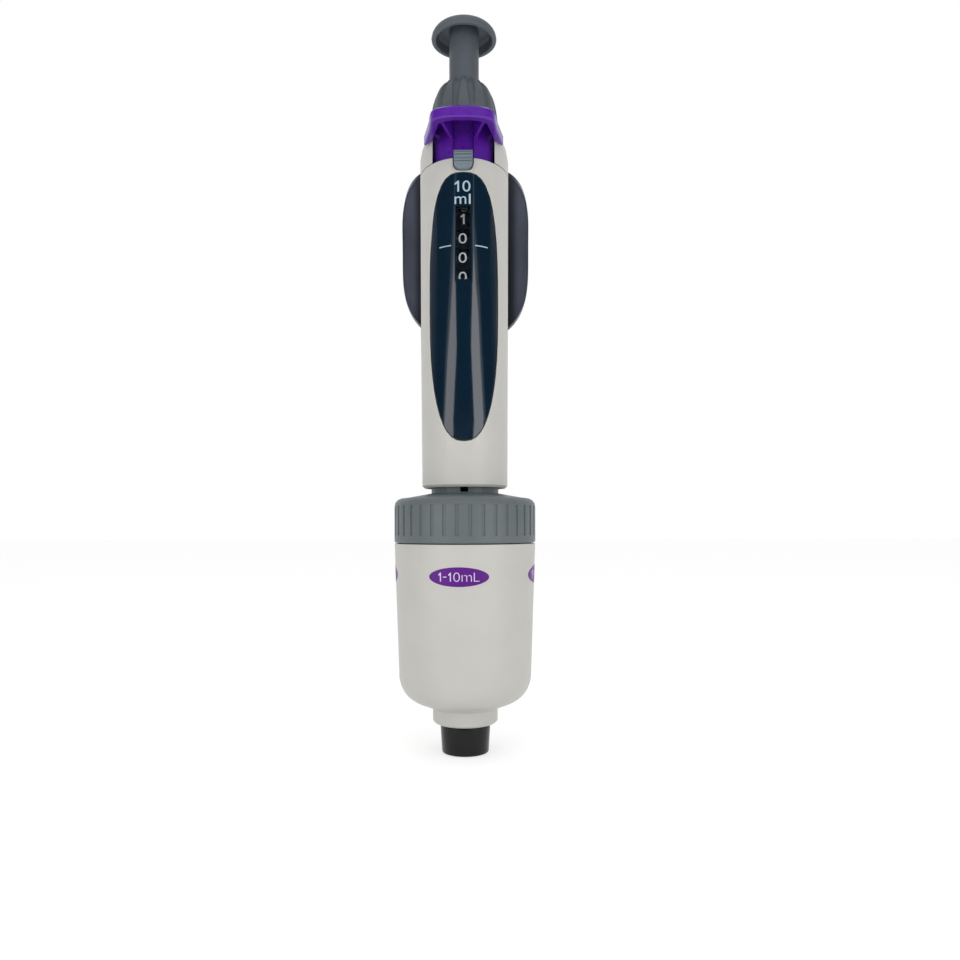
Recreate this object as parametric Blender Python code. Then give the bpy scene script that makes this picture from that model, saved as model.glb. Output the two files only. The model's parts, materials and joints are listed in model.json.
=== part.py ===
"""An adjustable air-displacement pipette for 1 to 10 ml.

It stands upright along +Z with its display facing -Y. The origin is on the axis, at the end of
the nose cone. Every length below is in millimetres, and the helpers turn it into metres.
"""

import math

import bmesh
import bpy
from mathutils import Vector

MM = 0.001

# Fits
GAP = 0.3
RUN = 0.2
FIT_WALL = 2.0

# Smoothness of the turned and lofted pieces, in steps round the axis
LARGE_STEPS = 32
MEDIUM_STEPS = 24
SMALL_STEPS = 12

# Nose cone
NOSE_TIP_R = 7.5
NOSE_TOP_R = 8.0
NOSE_LENGTH = 9.2
NOSE_EDGE = 0.5
SPIGOT_R = 6.6
SPIGOT_LENGTH = 7.8
RING_GROOVE_UP = 2.0
RING_WIRE_R = 0.7
FILTER_R = 4.9
FILTER_LENGTH = 5.5
AIR_BORE_R = 2.2

# Barrel
NECK_R = 10.35
NECK_LENGTH = 4.8
NECK_EDGE = 0.8
DOME_R = 14.5
DOME_RISE = 1.7
DOME_BEND_RISE = 2.0
BARREL_BOTTOM_R = 21.0
BARREL_TOP_R = 22.4
BARREL_LENGTH = 57.0
BARREL_CORNER = 8.1
BARREL_WALL = 1.8

# Piston and its stroke
PISTON_R = 14.9
PISTON_HEIGHT = 11.4
CHAMBER_RISE = 5.6
CHAMBER_WALL = 2.0
CHAMBER_DROP = 2.1
DELIVERY_STROKE = 14.35
BLOWOUT_STROKE = 2.2
FLOOR_CLEARANCE = 0.9
SEAL_HEIGHT = 3.0
SEAL_DEPTH = 2.4
RETAINER_HEIGHT = 2.3
RETAINER_INSET = 0.6
PISTON_BOSS_R = 5.0
PISTON_BOSS_RISE = 4.0
PISTON_WEB = 4.6
PISTON_SKIRT_WALL = 2.4
ROD_R = 3.0
SCREW_R = 1.5
SCREW_HEAD_R = 2.8
SCREW_HEAD_HEIGHT = 1.3
SCREW_LENGTH = 9.5

# Coupling, collar and gasket
GASKET_HEIGHT = 1.0
FLANGE_R = 17.6
FLANGE_HEIGHT = 3.4
COUPLING_R = 10.7
COUPLING_INNER_R = 10.4
COUPLING_BORE_R = 8.8
CUP_CLEARANCE = 1.92
SLOT_WIDTH = 2.4
COLLAR_R = 22.5
COLLAR_SKIRT_DEPTH = 6.8
COLLAR_SKIRT_WALL = 2.4
COLLAR_RISE = 15.7
COLLAR_WALL = 2.0
COLLAR_SHOULDER_DROP = 4.2
COLLAR_EDGE = 0.5
COLLAR_RIM_R = 18.6
COLLAR_RIM_DROP = 1.3
CLAMP_R = 15.2
CLAMP_HEIGHT = 2.0
GRIP_COUNT = 36
GRIP_WIDTH = 1.0
GRIP_DEPTH = 0.45
GRIP_RISE = 2.5
GRIP_RUNOUT = 0.4

# Handle
NECK_SHOWN = 1.8
HANDLE_LENGTH = 98.4
HANDLE_TAPER = 61.0
HANDLE_WALL = 2.0
BOTTOM_HALF_WIDTH = 13.6
BOTTOM_FRONT = 14.2
BOTTOM_BACK = 14.0
TOP_HALF_WIDTH = 14.05
TOP_FRONT = 17.0
TOP_BACK = 15.0
HANDLE_EDGE = 0.7
SHELL_STATIONS = (0.33, 0.66, 1.0)

# Lens, window and digits
LENS_RISE = 13.9
LENS_DROP = 4.6
LENS_HALF_WIDTH = 10.2
LENS_POWER = 2.5
LENS_STAND_OUT = 0.15
LENS_POCKET = 1.4
WINDOW_HALF_WIDTH = 2.1
WINDOW_DROP = 10.0
WINDOW_HEIGHT = 21.9
WINDOW_EDGE = 1.4
PANE_THICKNESS = 0.8

# Counter
WHEEL_R = 7.0
WHEEL_PITCH = 6.0
WHEEL_RISE = 0.6
RIM_HEIGHT = 3.9
WHEEL_COUNT = 4
WHEEL_TEETH = 20
PINION_TEETH = 8
MODULE = 0.62
TOOTH_REACH = 0.5
TOOTH_ROOT = 0.68
MESH_SLACK = 0.1
PINION_SHAFT_R = 0.7
PLATE_HEIGHT = 1.5
PLATE_FRONT = 9.4
FRAME_POST = 1.6

# Drive sleeve, lead tube and stop
SPINDLE_R = 2.0
SLEEVE_R = 3.4
UPPER_SLEEVE_BORE_R = 5.1
UPPER_SLEEVE_R = 6.2
SLEEVE_FLOOR = 1.5
LOCK_RING_R = 7.6
LOCK_NOTCHES = 12
LOCK_NOTCH_WIDTH = 2.2
LEAD_BORE_R = 5.3
LEAD_R = 7.5
LEAD_LENGTH = 24.6
LEAD_ROOF = 1.8
STOP_COLLAR_R = 4.8
STOP_COLLAR_HEIGHT = 2.8
ADJUST_SHARE = 0.9
CUP_R = 9.9
CUP_FLOOR = 2.5
CUP_ENGAGEMENT = 6.6
CUP_RIB_WIDTH = 3.0
CUP_RIB_HEIGHT = 10.0
GUIDE_R = 11.6
GUIDE_RISE = 1.6
BLOWOUT_WIRE_R = 0.5
BLOWOUT_TURNS = 5

# Main spring
MAIN_WIRE_R = 0.65
MAIN_COIL_R = 6.4
MAIN_TURNS = 6
WASHER_HEIGHT = 0.8
CAP_R = 8.3
CAP_HEIGHT = 2.0

# Head of the handle
HEAD_HEIGHT = 15.9
HEAD_TOP_R = 10.9
HEAD_SHOULDER_RISE = 5.1
HEAD_CEILING = 4.8
SPIGOT_DEPTH = 4.0
SPIGOT_WALL = 1.4
RAIL_WIDTH = 4.55
BUSH_WALL = 2.1
BUSH_FLANGE = 1.2

# Knob and button
KNOB_HEIGHT = 14.6
KNOB_BASE_R = 10.8
KNOB_TOP_R = 5.6
KNOB_FLUTES = 12
KNOB_FLUTE_DEPTH = 0.55
KNOB_HUB_DEPTH = 8.0
BUTTON_ROD_R = 4.72
BUTTON_CLEARANCE = 14.2
BUTTON_HEIGHT = 4.0
BUTTON_R = 10.4
BUTTON_DISC_R = 8.0
BUTTON_WALL = 1.5
BUTTON_HOLLOW = 2.8
ROD_DROP = 19.0

# Ejector
EJECTOR_TRAVEL = 6.0
PLATE_DROP = 1.8
PLATE_TOP_DROP = 1.9
PLATE_WALL = 1.4
CHANNEL_HALF_WIDTH = 3.2
CHANNEL_DEPTH = 1.2
CHANNEL_BULGE = 0.6
FLOOR_SPREAD = 0.8
HOOD_RISE = 6.8
HOOD_FRONT_Y = -28.0
HOOD_FRONT_HEIGHT = 3.5
HOOD_BACK_HEIGHT = 7.0
HOOD_SIDE_Y = -19.0
HOOD_LEG_Y = -9.8
HOOD_ROUNDING = 0.7
HOOD_SLOPE = 3.0
HOOD_LEG_INSET = 1.85
HOOD_WALL = 2.1
HOOD_ROOF = 1.6
GUSSET_WIDTH = 0.9
GUSSET_BACK_X = 3.7
GUSSET_FRONT_X = 6.2
GUSSET_FRONT_Y = -24.4
NUB_R = 0.75
NUB_Y = -24.9
EJECTOR_ROD_WIDTH = 3.0
EJECTOR_ROD_FOOT_WIDTH = 1.8
EJECTOR_ROD_THICKNESS = 0.8
EJECTOR_ROD_X = 4.6
EJECTOR_ROD_Y = -9.95
EJECTOR_ROD_LOW_Y = -12.2
EJECTOR_ROD_REACH = 7.5
EJECTOR_WIRE_R = 0.3
EJECTOR_COIL_R = 1.3
EJECTOR_TURNS = 6
EJECTOR_SPRING_X = -6.2
EJECTOR_SPRING_Y = -7.2
SPRING_TAB_HEIGHT = 1.2

# Lock slider
SLIDER_WIDTH = 5.7
SLIDER_DROP = 3.8
SLIDER_RISE = 1.8
SLIDER_STAND_OUT = 0.9
SLIDER_RIDGES = 5
LOCK_TRAVEL = 1.6
LOCK_TOOTH_WIDTH = 1.4
LOCK_TOOTH_HEIGHT = 1.2
LOCK_TAIL_WIDTH = 2.4
LOCK_TAIL_WALL = 0.7

# Finger rest
REST_HALF_WIDTH = 21.6
REST_DROP = 42.4
REST_RISE = 12.4
REST_POWER = 3.2
REST_DEPTH = 34.5
REST_FOOT_LEAN = 4.5
REST_TOP_GAP = 1.0
REST_SAG = 13.0
REST_THICKNESS = 3.4
BRIDGE_HALF_WIDTH = 8.0
BRIDGE_RISE = 1.0
BRIDGE_HEIGHT = 7.2
BRIDGE_REACH = 22.6
REST_SCREW_X = 5.0
REST_SCREW_R = 1.1
REST_SCREW_HEAD_R = 2.1
REST_SCREW_HEAD_HEIGHT = 1.4
REST_SCREW_LENGTH = 8.0
REST_SCREW_SEAT_Y = 12.1

# Places that follow from the sizes above
STROKE = DELIVERY_STROKE + BLOWOUT_STROKE
ADJUST_TRAVEL = DELIVERY_STROKE * ADJUST_SHARE
NECK_BOTTOM_Z = NOSE_LENGTH + GAP
NECK_TOP_Z = NECK_BOTTOM_Z + NECK_LENGTH
SPIGOT_TOP_Z = NOSE_LENGTH + SPIGOT_LENGTH
BARREL_TOP_Z = NECK_BOTTOM_Z + BARREL_LENGTH
CHAMBER_R = PISTON_R + RUN
CHAMBER_TOP_Z = BARREL_TOP_Z - CHAMBER_DROP
CHAMBER_FLOOR_Z = NECK_TOP_Z + CHAMBER_RISE
PISTON_REST_Z = CHAMBER_FLOOR_Z + FLOOR_CLEARANCE + STROKE
FLANGE_Z = CHAMBER_TOP_Z + GASKET_HEIGHT + 2 * GAP
FLANGE_TOP_Z = FLANGE_Z + FLANGE_HEIGHT
WASHER_Z = FLANGE_TOP_Z + GAP
MAIN_SPRING_Z = WASHER_Z + WASHER_HEIGHT
COLLAR_TOP_Z = BARREL_TOP_Z + COLLAR_RISE
COLLAR_SHOULDER_Z = COLLAR_TOP_Z - COLLAR_SHOULDER_DROP
GRIP_BOTTOM_Z = BARREL_TOP_Z + GRIP_RISE
GRIP_TOP_Z = COLLAR_SHOULDER_Z + GRIP_RUNOUT
HANDLE_BOTTOM_Z = COLLAR_TOP_Z + NECK_SHOWN
HANDLE_TOP_Z = HANDLE_BOTTOM_Z + HANDLE_LENGTH
HANDLE_FULL_Z = HANDLE_BOTTOM_Z + HANDLE_TAPER
LENS_BOTTOM_Z = HANDLE_BOTTOM_Z + LENS_RISE
LENS_TOP_Z = HANDLE_TOP_Z - LENS_DROP
WINDOW_TOP_Z = LENS_TOP_Z - WINDOW_DROP
WINDOW_BOTTOM_Z = WINDOW_TOP_Z - WINDOW_HEIGHT
WHEEL_BOTTOM_Z = WINDOW_BOTTOM_Z + WHEEL_RISE
WHEEL_BORE_R = SLEEVE_R + RUN
SLEEVE_BORE_R = SPINDLE_R + 2 * RUN
WHEEL_PITCH_R = MODULE * WHEEL_TEETH / 2
PINION_PITCH_R = MODULE * PINION_TEETH / 2
PINION_Y = WHEEL_PITCH_R + PINION_PITCH_R + MESH_SLACK
LOWER_PLATE_Z = WHEEL_BOTTOM_Z - GAP - PLATE_HEIGHT
UPPER_PLATE_Z = WHEEL_BOTTOM_Z + WHEEL_COUNT * WHEEL_PITCH
LOCK_RING_Z = UPPER_PLATE_Z + PLATE_HEIGHT + GAP
LEAD_TOP_Z = LOWER_PLATE_Z - GAP
LEAD_BOTTOM_Z = LEAD_TOP_Z - LEAD_LENGTH
STOP_COLLAR_Z = LEAD_TOP_Z - LEAD_ROOF - STOP_COLLAR_HEIGHT - GAP
BLOWOUT_TOP_Z = STOP_COLLAR_Z - DELIVERY_STROKE
CUP_TOP_Z = LEAD_BOTTOM_Z + CUP_ENGAGEMENT
CUP_INNER_FLOOR_Z = LEAD_BOTTOM_Z - ADJUST_TRAVEL - GAP
CUP_BOTTOM_Z = CUP_INNER_FLOOR_Z - CUP_FLOOR
GUIDE_TOP_Z = CUP_TOP_Z + GUIDE_RISE
ROD_TOP_Z = CUP_BOTTOM_Z - GAP
COUPLING_TOP_Z = CUP_BOTTOM_Z - CUP_CLEARANCE
CAP_Z = COUPLING_TOP_Z - CAP_HEIGHT
HEAD_TOP_Z = HANDLE_TOP_Z + HEAD_HEIGHT
HEAD_SHOULDER_Z = HANDLE_TOP_Z + HEAD_SHOULDER_RISE
KNOB_BASE_Z = HEAD_TOP_Z + GAP
KNOB_TOP_Z = KNOB_BASE_Z + KNOB_HEIGHT
BUTTON_RIM_Z = KNOB_TOP_Z + BUTTON_CLEARANCE
BUTTON_TOP_Z = BUTTON_RIM_Z + BUTTON_HEIGHT
ROD_END_Z = KNOB_TOP_Z - ROD_DROP
RAIL_INNER_X = TOP_HALF_WIDTH - RAIL_WIDTH
PLATE_HALF_WIDTH = RAIL_INNER_X - GAP
HOOD_LEG_HALF_WIDTH = TOP_HALF_WIDTH - HOOD_LEG_INSET
PLATE_BOTTOM_Z = HANDLE_TOP_Z - PLATE_DROP
PLATE_TOP_Z = HEAD_TOP_Z - PLATE_TOP_DROP
HOOD_RIM_Z = HANDLE_TOP_Z + HOOD_RISE
HOOD_FRONT_TOP_Z = HOOD_RIM_Z + HOOD_FRONT_HEIGHT
HOOD_BACK_TOP_Z = HOOD_RIM_Z + HOOD_BACK_HEIGHT
EJECTOR_ROD_END_Z = COUPLING_TOP_Z - EJECTOR_ROD_REACH
SLIDER_BOTTOM_Z = HANDLE_TOP_Z - SLIDER_DROP
SLIDER_TOP_Z = HANDLE_TOP_Z + SLIDER_RISE
REST_BOTTOM_Z = HANDLE_TOP_Z - REST_DROP
REST_TOP_Z = HANDLE_TOP_Z + REST_RISE
BRIDGE_BOTTOM_Z = HANDLE_TOP_Z + BRIDGE_RISE
BRIDGE_TOP_Z = BRIDGE_BOTTOM_Z + BRIDGE_HEIGHT
HEAD_BORE_R = UPPER_SLEEVE_R + RUN + BUSH_WALL + RUN

# Colours, as sRGB values
WARM_WHITE = (203, 202, 197)
COLLAR_GREY = (112, 122, 126)
DARK_GREY = (84, 90, 96)
PURPLE = (88, 22, 156)
NAVY = (6, 34, 54)
SLATE = (66, 70, 86)
SLIDER_GREY = (126, 140, 149)
BLACK = (18, 20, 23)
CLEAR = (205, 222, 230)
STEEL = (176, 178, 180)
IVORY = (214, 208, 190)
SEAL_GREY = (60, 62, 66)
FOAM = (228, 226, 214)


def clear_scene():
    for thing in list(bpy.data.objects):
        bpy.data.objects.remove(thing, do_unlink=True)


def linear(value):
    value /= 255
    if value <= 0.04045:
        return value / 12.92
    return ((value + 0.055) / 1.055) ** 2.4


def material(name, colour, roughness, metallic=0.0):
    made = bpy.data.materials.new(name)
    made.use_nodes = True
    shader = made.node_tree.nodes["Principled BSDF"]
    rgba = [linear(channel) for channel in colour] + [1.0]
    shader.inputs["Base Color"].default_value = rgba
    shader.inputs["Roughness"].default_value = roughness
    shader.inputs["Metallic"].default_value = metallic
    made.diffuse_color = rgba
    return made


def finish(name, mesh_edit, look=None, at=(0, 0, 0)):
    """Turns a bmesh into a smooth-shaded object. Without a look it is a helper for a Boolean."""
    bmesh.ops.remove_doubles(mesh_edit, verts=mesh_edit.verts, dist=1e-7)
    bmesh.ops.recalc_face_normals(mesh_edit, faces=mesh_edit.faces)
    mesh = bpy.data.meshes.new(name)
    mesh_edit.to_mesh(mesh)
    mesh_edit.free()
    mesh.shade_smooth()
    mesh.set_sharp_from_angle(angle=math.radians(32))
    thing = bpy.data.objects.new(name, mesh)
    thing.location = Vector(at) * MM
    bpy.context.scene.collection.objects.link(thing)
    if look:
        mesh.materials.append(material(name, *look))
    else:
        thing.hide_render = True
        thing.display_type = "WIRE"
    return thing


def combine(target, helper, operation="DIFFERENCE"):
    modifier = target.modifiers.new(helper.name, "BOOLEAN")
    modifier.operation = operation
    modifier.solver = "EXACT"
    modifier.object = helper
    return target


def turned(name, outline, look=None, steps=MEDIUM_STEPS, at=(0, 0, 0)):
    """Spins an outline of (radius, height) points. One that starts and ends on the axis stays open."""
    edit = bmesh.new()
    verts = [edit.verts.new((radius * MM, 0, height * MM)) for radius, height in outline]
    edges = [edit.edges.new(pair) for pair in zip(verts, verts[1:])]
    if outline[0][0] or outline[-1][0]:
        edges.append(edit.edges.new((verts[-1], verts[0])))
    bmesh.ops.spin(
        edit,
        geom=verts + edges,
        axis=(0, 0, 1),
        cent=(0, 0, 0),
        angle=2 * math.pi,
        steps=steps,
        use_merge=True,
    )
    return finish(name, edit, look, at)


def tube(name, outer, inner, bottom, top, look=None, steps=MEDIUM_STEPS, at=(0, 0, 0)):
    outline = [(inner, bottom), (outer, bottom), (outer, top), (inner, top)]
    return turned(name, outline, look, steps, at)


def rod(name, radius, bottom, top, look=None, steps=SMALL_STEPS, at=(0, 0, 0)):
    outline = [(0, bottom), (radius, bottom), (radius, top), (0, top)]
    return turned(name, outline, look, steps, at)


def lofted(name, rings, look=None, closed=False, at=(0, 0, 0)):
    """Bridges rings of (x, y, z) points. A closed loft joins its last ring to its first."""
    edit = bmesh.new()
    loops = [[edit.verts.new(Vector(point) * MM) for point in ring] for ring in rings]
    count = len(loops[0])
    pairs = list(zip(loops, loops[1:]))
    if closed:
        pairs.append((loops[-1], loops[0]))
    for lower, upper in pairs:
        for i in range(count):
            j = (i + 1) % count
            edit.faces.new((lower[i], lower[j], upper[j], upper[i]))
    if not closed:
        edit.faces.new(loops[0][::-1])
        edit.faces.new(loops[-1])
    return finish(name, edit, look, at)


def prism(name, outline, bottom, top, look=None, at=(0, 0, 0)):
    """Extrudes an outline of (x, y) points along Z."""
    rings = [[(x, y, z) for x, y in outline] for z in (bottom, top)]
    return lofted(name, rings, look, at=at)


def front_prism(name, outline, front, back, look=None):
    """Extrudes an outline of (x, z) points along Y, from front to back."""
    rings = [[(x, y, z) for x, z in outline] for y in (front, back)]
    return lofted(name, rings, look)


def box(name, low, high, look=None):
    outline = [(low[0], low[1]), (high[0], low[1]), (high[0], high[1]), (low[0], high[1])]
    return prism(name, outline, low[2], high[2], look)


def circle(radius, steps, z=None, turn=0.0):
    points = []
    for i in range(steps):
        angle = turn + 2 * math.pi * i / steps
        point = (radius * math.cos(angle), radius * math.sin(angle))
        points.append(point if z is None else (*point, z))
    return points


def bend_point(start, corner, end, t):
    weights = ((1 - t) ** 2, 2 * t * (1 - t), t**2)
    return tuple(sum(w * v for w, v in zip(weights, part)) for part in zip(start, corner, end))


def bend(start, corner, end, steps):
    """A smooth bend from start to end that leaves and arrives along the lines to the corner."""
    return [bend_point(start, corner, end, i / steps) for i in range(steps + 1)]


def smooth(t):
    t = min(max(t, 0.0), 1.0)
    return t * t * (3 - 2 * t)


def spring(name, coil, wire, bottom, top, turns, look, at=(0, 0), sides=5, steps=10):
    """A compression coil whose end turns lie flat, standing between two faces."""
    low = bottom + wire
    high = top - wire
    edit = bmesh.new()
    loops = []
    total = turns * steps
    for i in range(total + 1):
        angle = 2 * math.pi * i / steps
        share = smooth(i / total)
        radial = Vector((math.cos(angle), math.sin(angle), 0))
        middle = radial * coil + Vector((at[0], at[1], low + (high - low) * share))
        loop = []
        for k in range(sides):
            side = 2 * math.pi * k / sides
            offset = radial * math.cos(side) + Vector((0, 0, math.sin(side)))
            loop.append(edit.verts.new((middle + offset * wire) * MM))
        loops.append(loop)
    for lower, upper in zip(loops, loops[1:]):
        for k in range(sides):
            after = (k + 1) % sides
            edit.faces.new((lower[k], lower[after], upper[after], upper[k]))
    edit.faces.new(loops[0])
    edit.faces.new(loops[-1][::-1])
    return finish(name, edit, look)


# Lower assembly


def nose_cone():
    groove_z = NOSE_LENGTH + RING_GROOVE_UP
    groove_r = SPIGOT_R - RING_WIRE_R
    mouth_r = FILTER_R + GAP
    mouth_depth = FILTER_LENGTH + GAP
    outline = [
        (mouth_r, 0),
        (NOSE_TIP_R - NOSE_EDGE, 0),
        (NOSE_TIP_R, NOSE_EDGE),
        (NOSE_TOP_R, NOSE_LENGTH - NOSE_EDGE / 2),
        (NOSE_TOP_R - NOSE_EDGE / 2, NOSE_LENGTH),
        (SPIGOT_R, NOSE_LENGTH),
        (SPIGOT_R, groove_z),
        (groove_r, groove_z),
        (groove_r, groove_z + 2 * RING_WIRE_R + GAP),
        (SPIGOT_R, groove_z + 2 * RING_WIRE_R + GAP),
        (SPIGOT_R, SPIGOT_TOP_Z),
        (AIR_BORE_R, SPIGOT_TOP_Z),
        (AIR_BORE_R, mouth_depth),
        (mouth_r, mouth_depth),
    ]
    return turned("nose_cone", outline, (BLACK, 0.18), LARGE_STEPS)


def nose_o_ring():
    middle_r = SPIGOT_R - RING_WIRE_R + RUN / 2 + RING_WIRE_R
    middle_z = NOSE_LENGTH + RING_GROOVE_UP + GAP / 2 + RING_WIRE_R
    outline = [(middle_r + x, middle_z + z) for x, z in circle(RING_WIRE_R, 6)]
    return turned("nose_o_ring", outline, (BLACK, 0.6))


def tip_filter():
    """Lies flush in the cone's flat end."""
    return rod("tip_filter", FILTER_R, 0, FILTER_LENGTH, (FOAM, 0.9), MEDIUM_STEPS)


def barrel():
    dome_z = NECK_TOP_Z + DOME_RISE
    corner_z = dome_z + BARREL_CORNER
    seat_r = SPIGOT_R + 2 * RING_WIRE_R - RING_WIRE_R + GAP
    chamber_outer_r = CHAMBER_R + CHAMBER_WALL
    well_z = dome_z + BARREL_CORNER / 2
    well_r = BARREL_BOTTOM_R - BARREL_WALL
    corner = (BARREL_BOTTOM_R - NOSE_EDGE, dome_z + DOME_BEND_RISE)
    outline = [
        (seat_r, NECK_BOTTOM_Z),
        (NECK_R - NECK_EDGE, NECK_BOTTOM_Z),
        (NECK_R, NECK_BOTTOM_Z + NECK_EDGE),
        (NECK_R, NECK_TOP_Z),
        *bend((DOME_R, dome_z), corner, (BARREL_BOTTOM_R, corner_z), 5),
        (BARREL_TOP_R, BARREL_TOP_Z),
        (BARREL_TOP_R - BARREL_WALL, BARREL_TOP_Z),
        (well_r, corner_z),
        (well_r - BARREL_WALL, well_z),
        (chamber_outer_r, well_z),
        (chamber_outer_r, CHAMBER_TOP_Z),
        (CHAMBER_R, CHAMBER_TOP_Z),
        (CHAMBER_R, CHAMBER_FLOOR_Z),
        (AIR_BORE_R, CHAMBER_FLOOR_Z),
        (AIR_BORE_R, SPIGOT_TOP_Z + GAP),
        (seat_r, SPIGOT_TOP_Z + GAP),
    ]
    return turned("barrel", outline, (WARM_WHITE, 0.42), LARGE_STEPS)


def piston():
    """Cored from above, with a boss that takes the rod and a recess below for its seal."""
    seal_z = PISTON_REST_Z + RETAINER_HEIGHT + GAP
    seat_r = PISTON_R - SEAL_DEPTH - GAP
    shoulder_z = seal_z + SEAL_HEIGHT + 2 * GAP
    top = PISTON_REST_Z + RETAINER_HEIGHT + PISTON_HEIGHT
    web_z = shoulder_z + PISTON_WEB
    socket_r = ROD_R + GAP
    outer_r = PISTON_R - RETAINER_INSET
    outline = [
        (SCREW_R + GAP, seal_z),
        (seat_r, seal_z),
        (seat_r, shoulder_z),
        (outer_r, shoulder_z),
        (outer_r, top),
        (outer_r - PISTON_SKIRT_WALL, top),
        (outer_r - PISTON_SKIRT_WALL, shoulder_z + PISTON_SKIRT_WALL),
        (PISTON_BOSS_R, shoulder_z + PISTON_SKIRT_WALL),
        (PISTON_BOSS_R, top + PISTON_BOSS_RISE),
        (socket_r, top + PISTON_BOSS_RISE),
        (socket_r, web_z),
        (SCREW_R + GAP, web_z),
    ]
    return turned("piston", outline, (IVORY, 0.4))


def piston_seal():
    """A lip seal: its outer wall is hollowed from below, so that pressure spreads the lip."""
    seal_z = PISTON_REST_Z + RETAINER_HEIGHT + 2 * GAP
    top = seal_z + SEAL_HEIGHT
    inner_r = PISTON_R - SEAL_DEPTH
    outline = [
        (inner_r, seal_z),
        (inner_r + SEAL_DEPTH * 0.4, seal_z),
        (inner_r + SEAL_DEPTH * 0.6, seal_z + SEAL_HEIGHT * 0.55),
        (PISTON_R - SEAL_DEPTH * 0.2, seal_z + SEAL_HEIGHT * 0.1),
        (PISTON_R, seal_z + SEAL_HEIGHT * 0.2),
        (PISTON_R - RUN, top),
        (inner_r, top),
    ]
    return turned("piston_seal", outline, (SEAL_GREY, 0.55))


def seal_retainer():
    bottom = PISTON_REST_Z
    top = bottom + RETAINER_HEIGHT
    sink_r = SCREW_HEAD_R + GAP
    sink_z = bottom + SCREW_HEAD_HEIGHT + GAP
    outer_r = PISTON_R - RETAINER_INSET
    outline = [
        (sink_r, bottom),
        (outer_r - NOSE_EDGE, bottom),
        (outer_r, bottom + NOSE_EDGE),
        (outer_r, top),
        (SCREW_R + GAP, top),
        (SCREW_R + GAP, sink_z),
        (sink_r, sink_z),
    ]
    return turned("seal_retainer", outline, (IVORY, 0.4))


def piston_screw():
    head_z = PISTON_REST_Z + SCREW_HEAD_HEIGHT
    outline = [
        (0, PISTON_REST_Z),
        (SCREW_HEAD_R, PISTON_REST_Z),
        (SCREW_HEAD_R, head_z),
        (SCREW_R, head_z),
        (SCREW_R, head_z + SCREW_LENGTH),
        (0, head_z + SCREW_LENGTH),
    ]
    return turned("piston_screw", outline, (STEEL, 0.3, 1.0), SMALL_STEPS)


def piston_rod():
    """Runs from the piston's boss through the coupling, and takes the spindle's end on top."""
    head_z = PISTON_REST_Z + SCREW_HEAD_HEIGHT + SCREW_LENGTH
    socket_r = SPINDLE_R + RUN
    outline = [
        (0, head_z + GAP),
        (ROD_R, head_z + GAP),
        (ROD_R, ROD_TOP_Z),
        (socket_r, ROD_TOP_Z),
        (socket_r, CAP_Z - CAP_HEIGHT - GAP),
        (0, CAP_Z - CAP_HEIGHT - GAP),
    ]
    return turned("piston_rod", outline, (STEEL, 0.25, 1.0), SMALL_STEPS)


def barrel_gasket():
    bottom = CHAMBER_TOP_Z + GAP
    outer_r = CHAMBER_R + CHAMBER_WALL + GAP
    return tube(
        "barrel_gasket", outer_r, CHAMBER_R, bottom, bottom + GASKET_HEIGHT, (SEAL_GREY, 0.6)
    )


def neck_coupling():
    """A flanged cup: the collar clamps its flange, and its tube goes up into the handle."""
    guide_r = ROD_R + GAP
    neck_z = HANDLE_BOTTOM_Z
    outline = [
        (guide_r, FLANGE_Z),
        (FLANGE_R, FLANGE_Z),
        (FLANGE_R, FLANGE_TOP_Z),
        (COUPLING_R, FLANGE_TOP_Z),
        (COUPLING_R, neck_z),
        (COUPLING_INNER_R, neck_z),
        (COUPLING_INNER_R, COUPLING_TOP_Z),
        (COUPLING_BORE_R, COUPLING_TOP_Z),
        (COUPLING_BORE_R, FLANGE_TOP_Z),
        (guide_r, FLANGE_TOP_Z),
    ]
    made = turned("neck_coupling", outline, (COLLAR_GREY, 0.5), MEDIUM_STEPS)
    reach = COUPLING_R + 1
    slot = box(
        "coupling_slot",
        (-SLOT_WIDTH / 2, -reach, COLLAR_TOP_Z + GAP),
        (SLOT_WIDTH / 2, reach, COUPLING_TOP_Z + 1),
    )
    return combine(made, slot)


def barrel_collar():
    """A coupling nut with a domed shoulder, hollow inside, with narrow grip grooves all round."""
    face_z = BARREL_TOP_Z + GAP
    skirt_r = BARREL_TOP_R - BARREL_WALL - GAP
    cavity_r = COLLAR_R - COLLAR_WALL - NOSE_EDGE
    clamp_z = FLANGE_TOP_Z + GAP
    opening_r = COUPLING_R + GAP
    outline = [
        (skirt_r - COLLAR_SKIRT_WALL, face_z - COLLAR_SKIRT_DEPTH),
        (skirt_r, face_z - COLLAR_SKIRT_DEPTH),
        (skirt_r, face_z),
        (COLLAR_R - COLLAR_EDGE / 2, face_z),
        (COLLAR_R, face_z + COLLAR_EDGE),
        *bend(
            (COLLAR_R, COLLAR_SHOULDER_Z),
            (COLLAR_R, COLLAR_TOP_Z - COLLAR_RIM_DROP),
            (COLLAR_RIM_R, COLLAR_TOP_Z - COLLAR_RIM_DROP),
            4,
        ),
        (opening_r + COLLAR_EDGE, COLLAR_TOP_Z),
        (opening_r, COLLAR_TOP_Z - COLLAR_EDGE),
        (opening_r, COLLAR_TOP_Z - COLLAR_WALL),
        (COLLAR_RIM_R, COLLAR_TOP_Z - COLLAR_RIM_DROP - COLLAR_WALL),
        (cavity_r, COLLAR_SHOULDER_Z - COLLAR_WALL),
        (cavity_r, clamp_z + CLAMP_HEIGHT),
        (CLAMP_R, clamp_z + CLAMP_HEIGHT),
        (CLAMP_R, clamp_z),
        (skirt_r - COLLAR_SKIRT_WALL, clamp_z),
    ]
    made = turned("barrel_collar", outline, (COLLAR_GREY, 0.5), GRIP_COUNT)
    return combine(made, grip_grooves())


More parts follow.
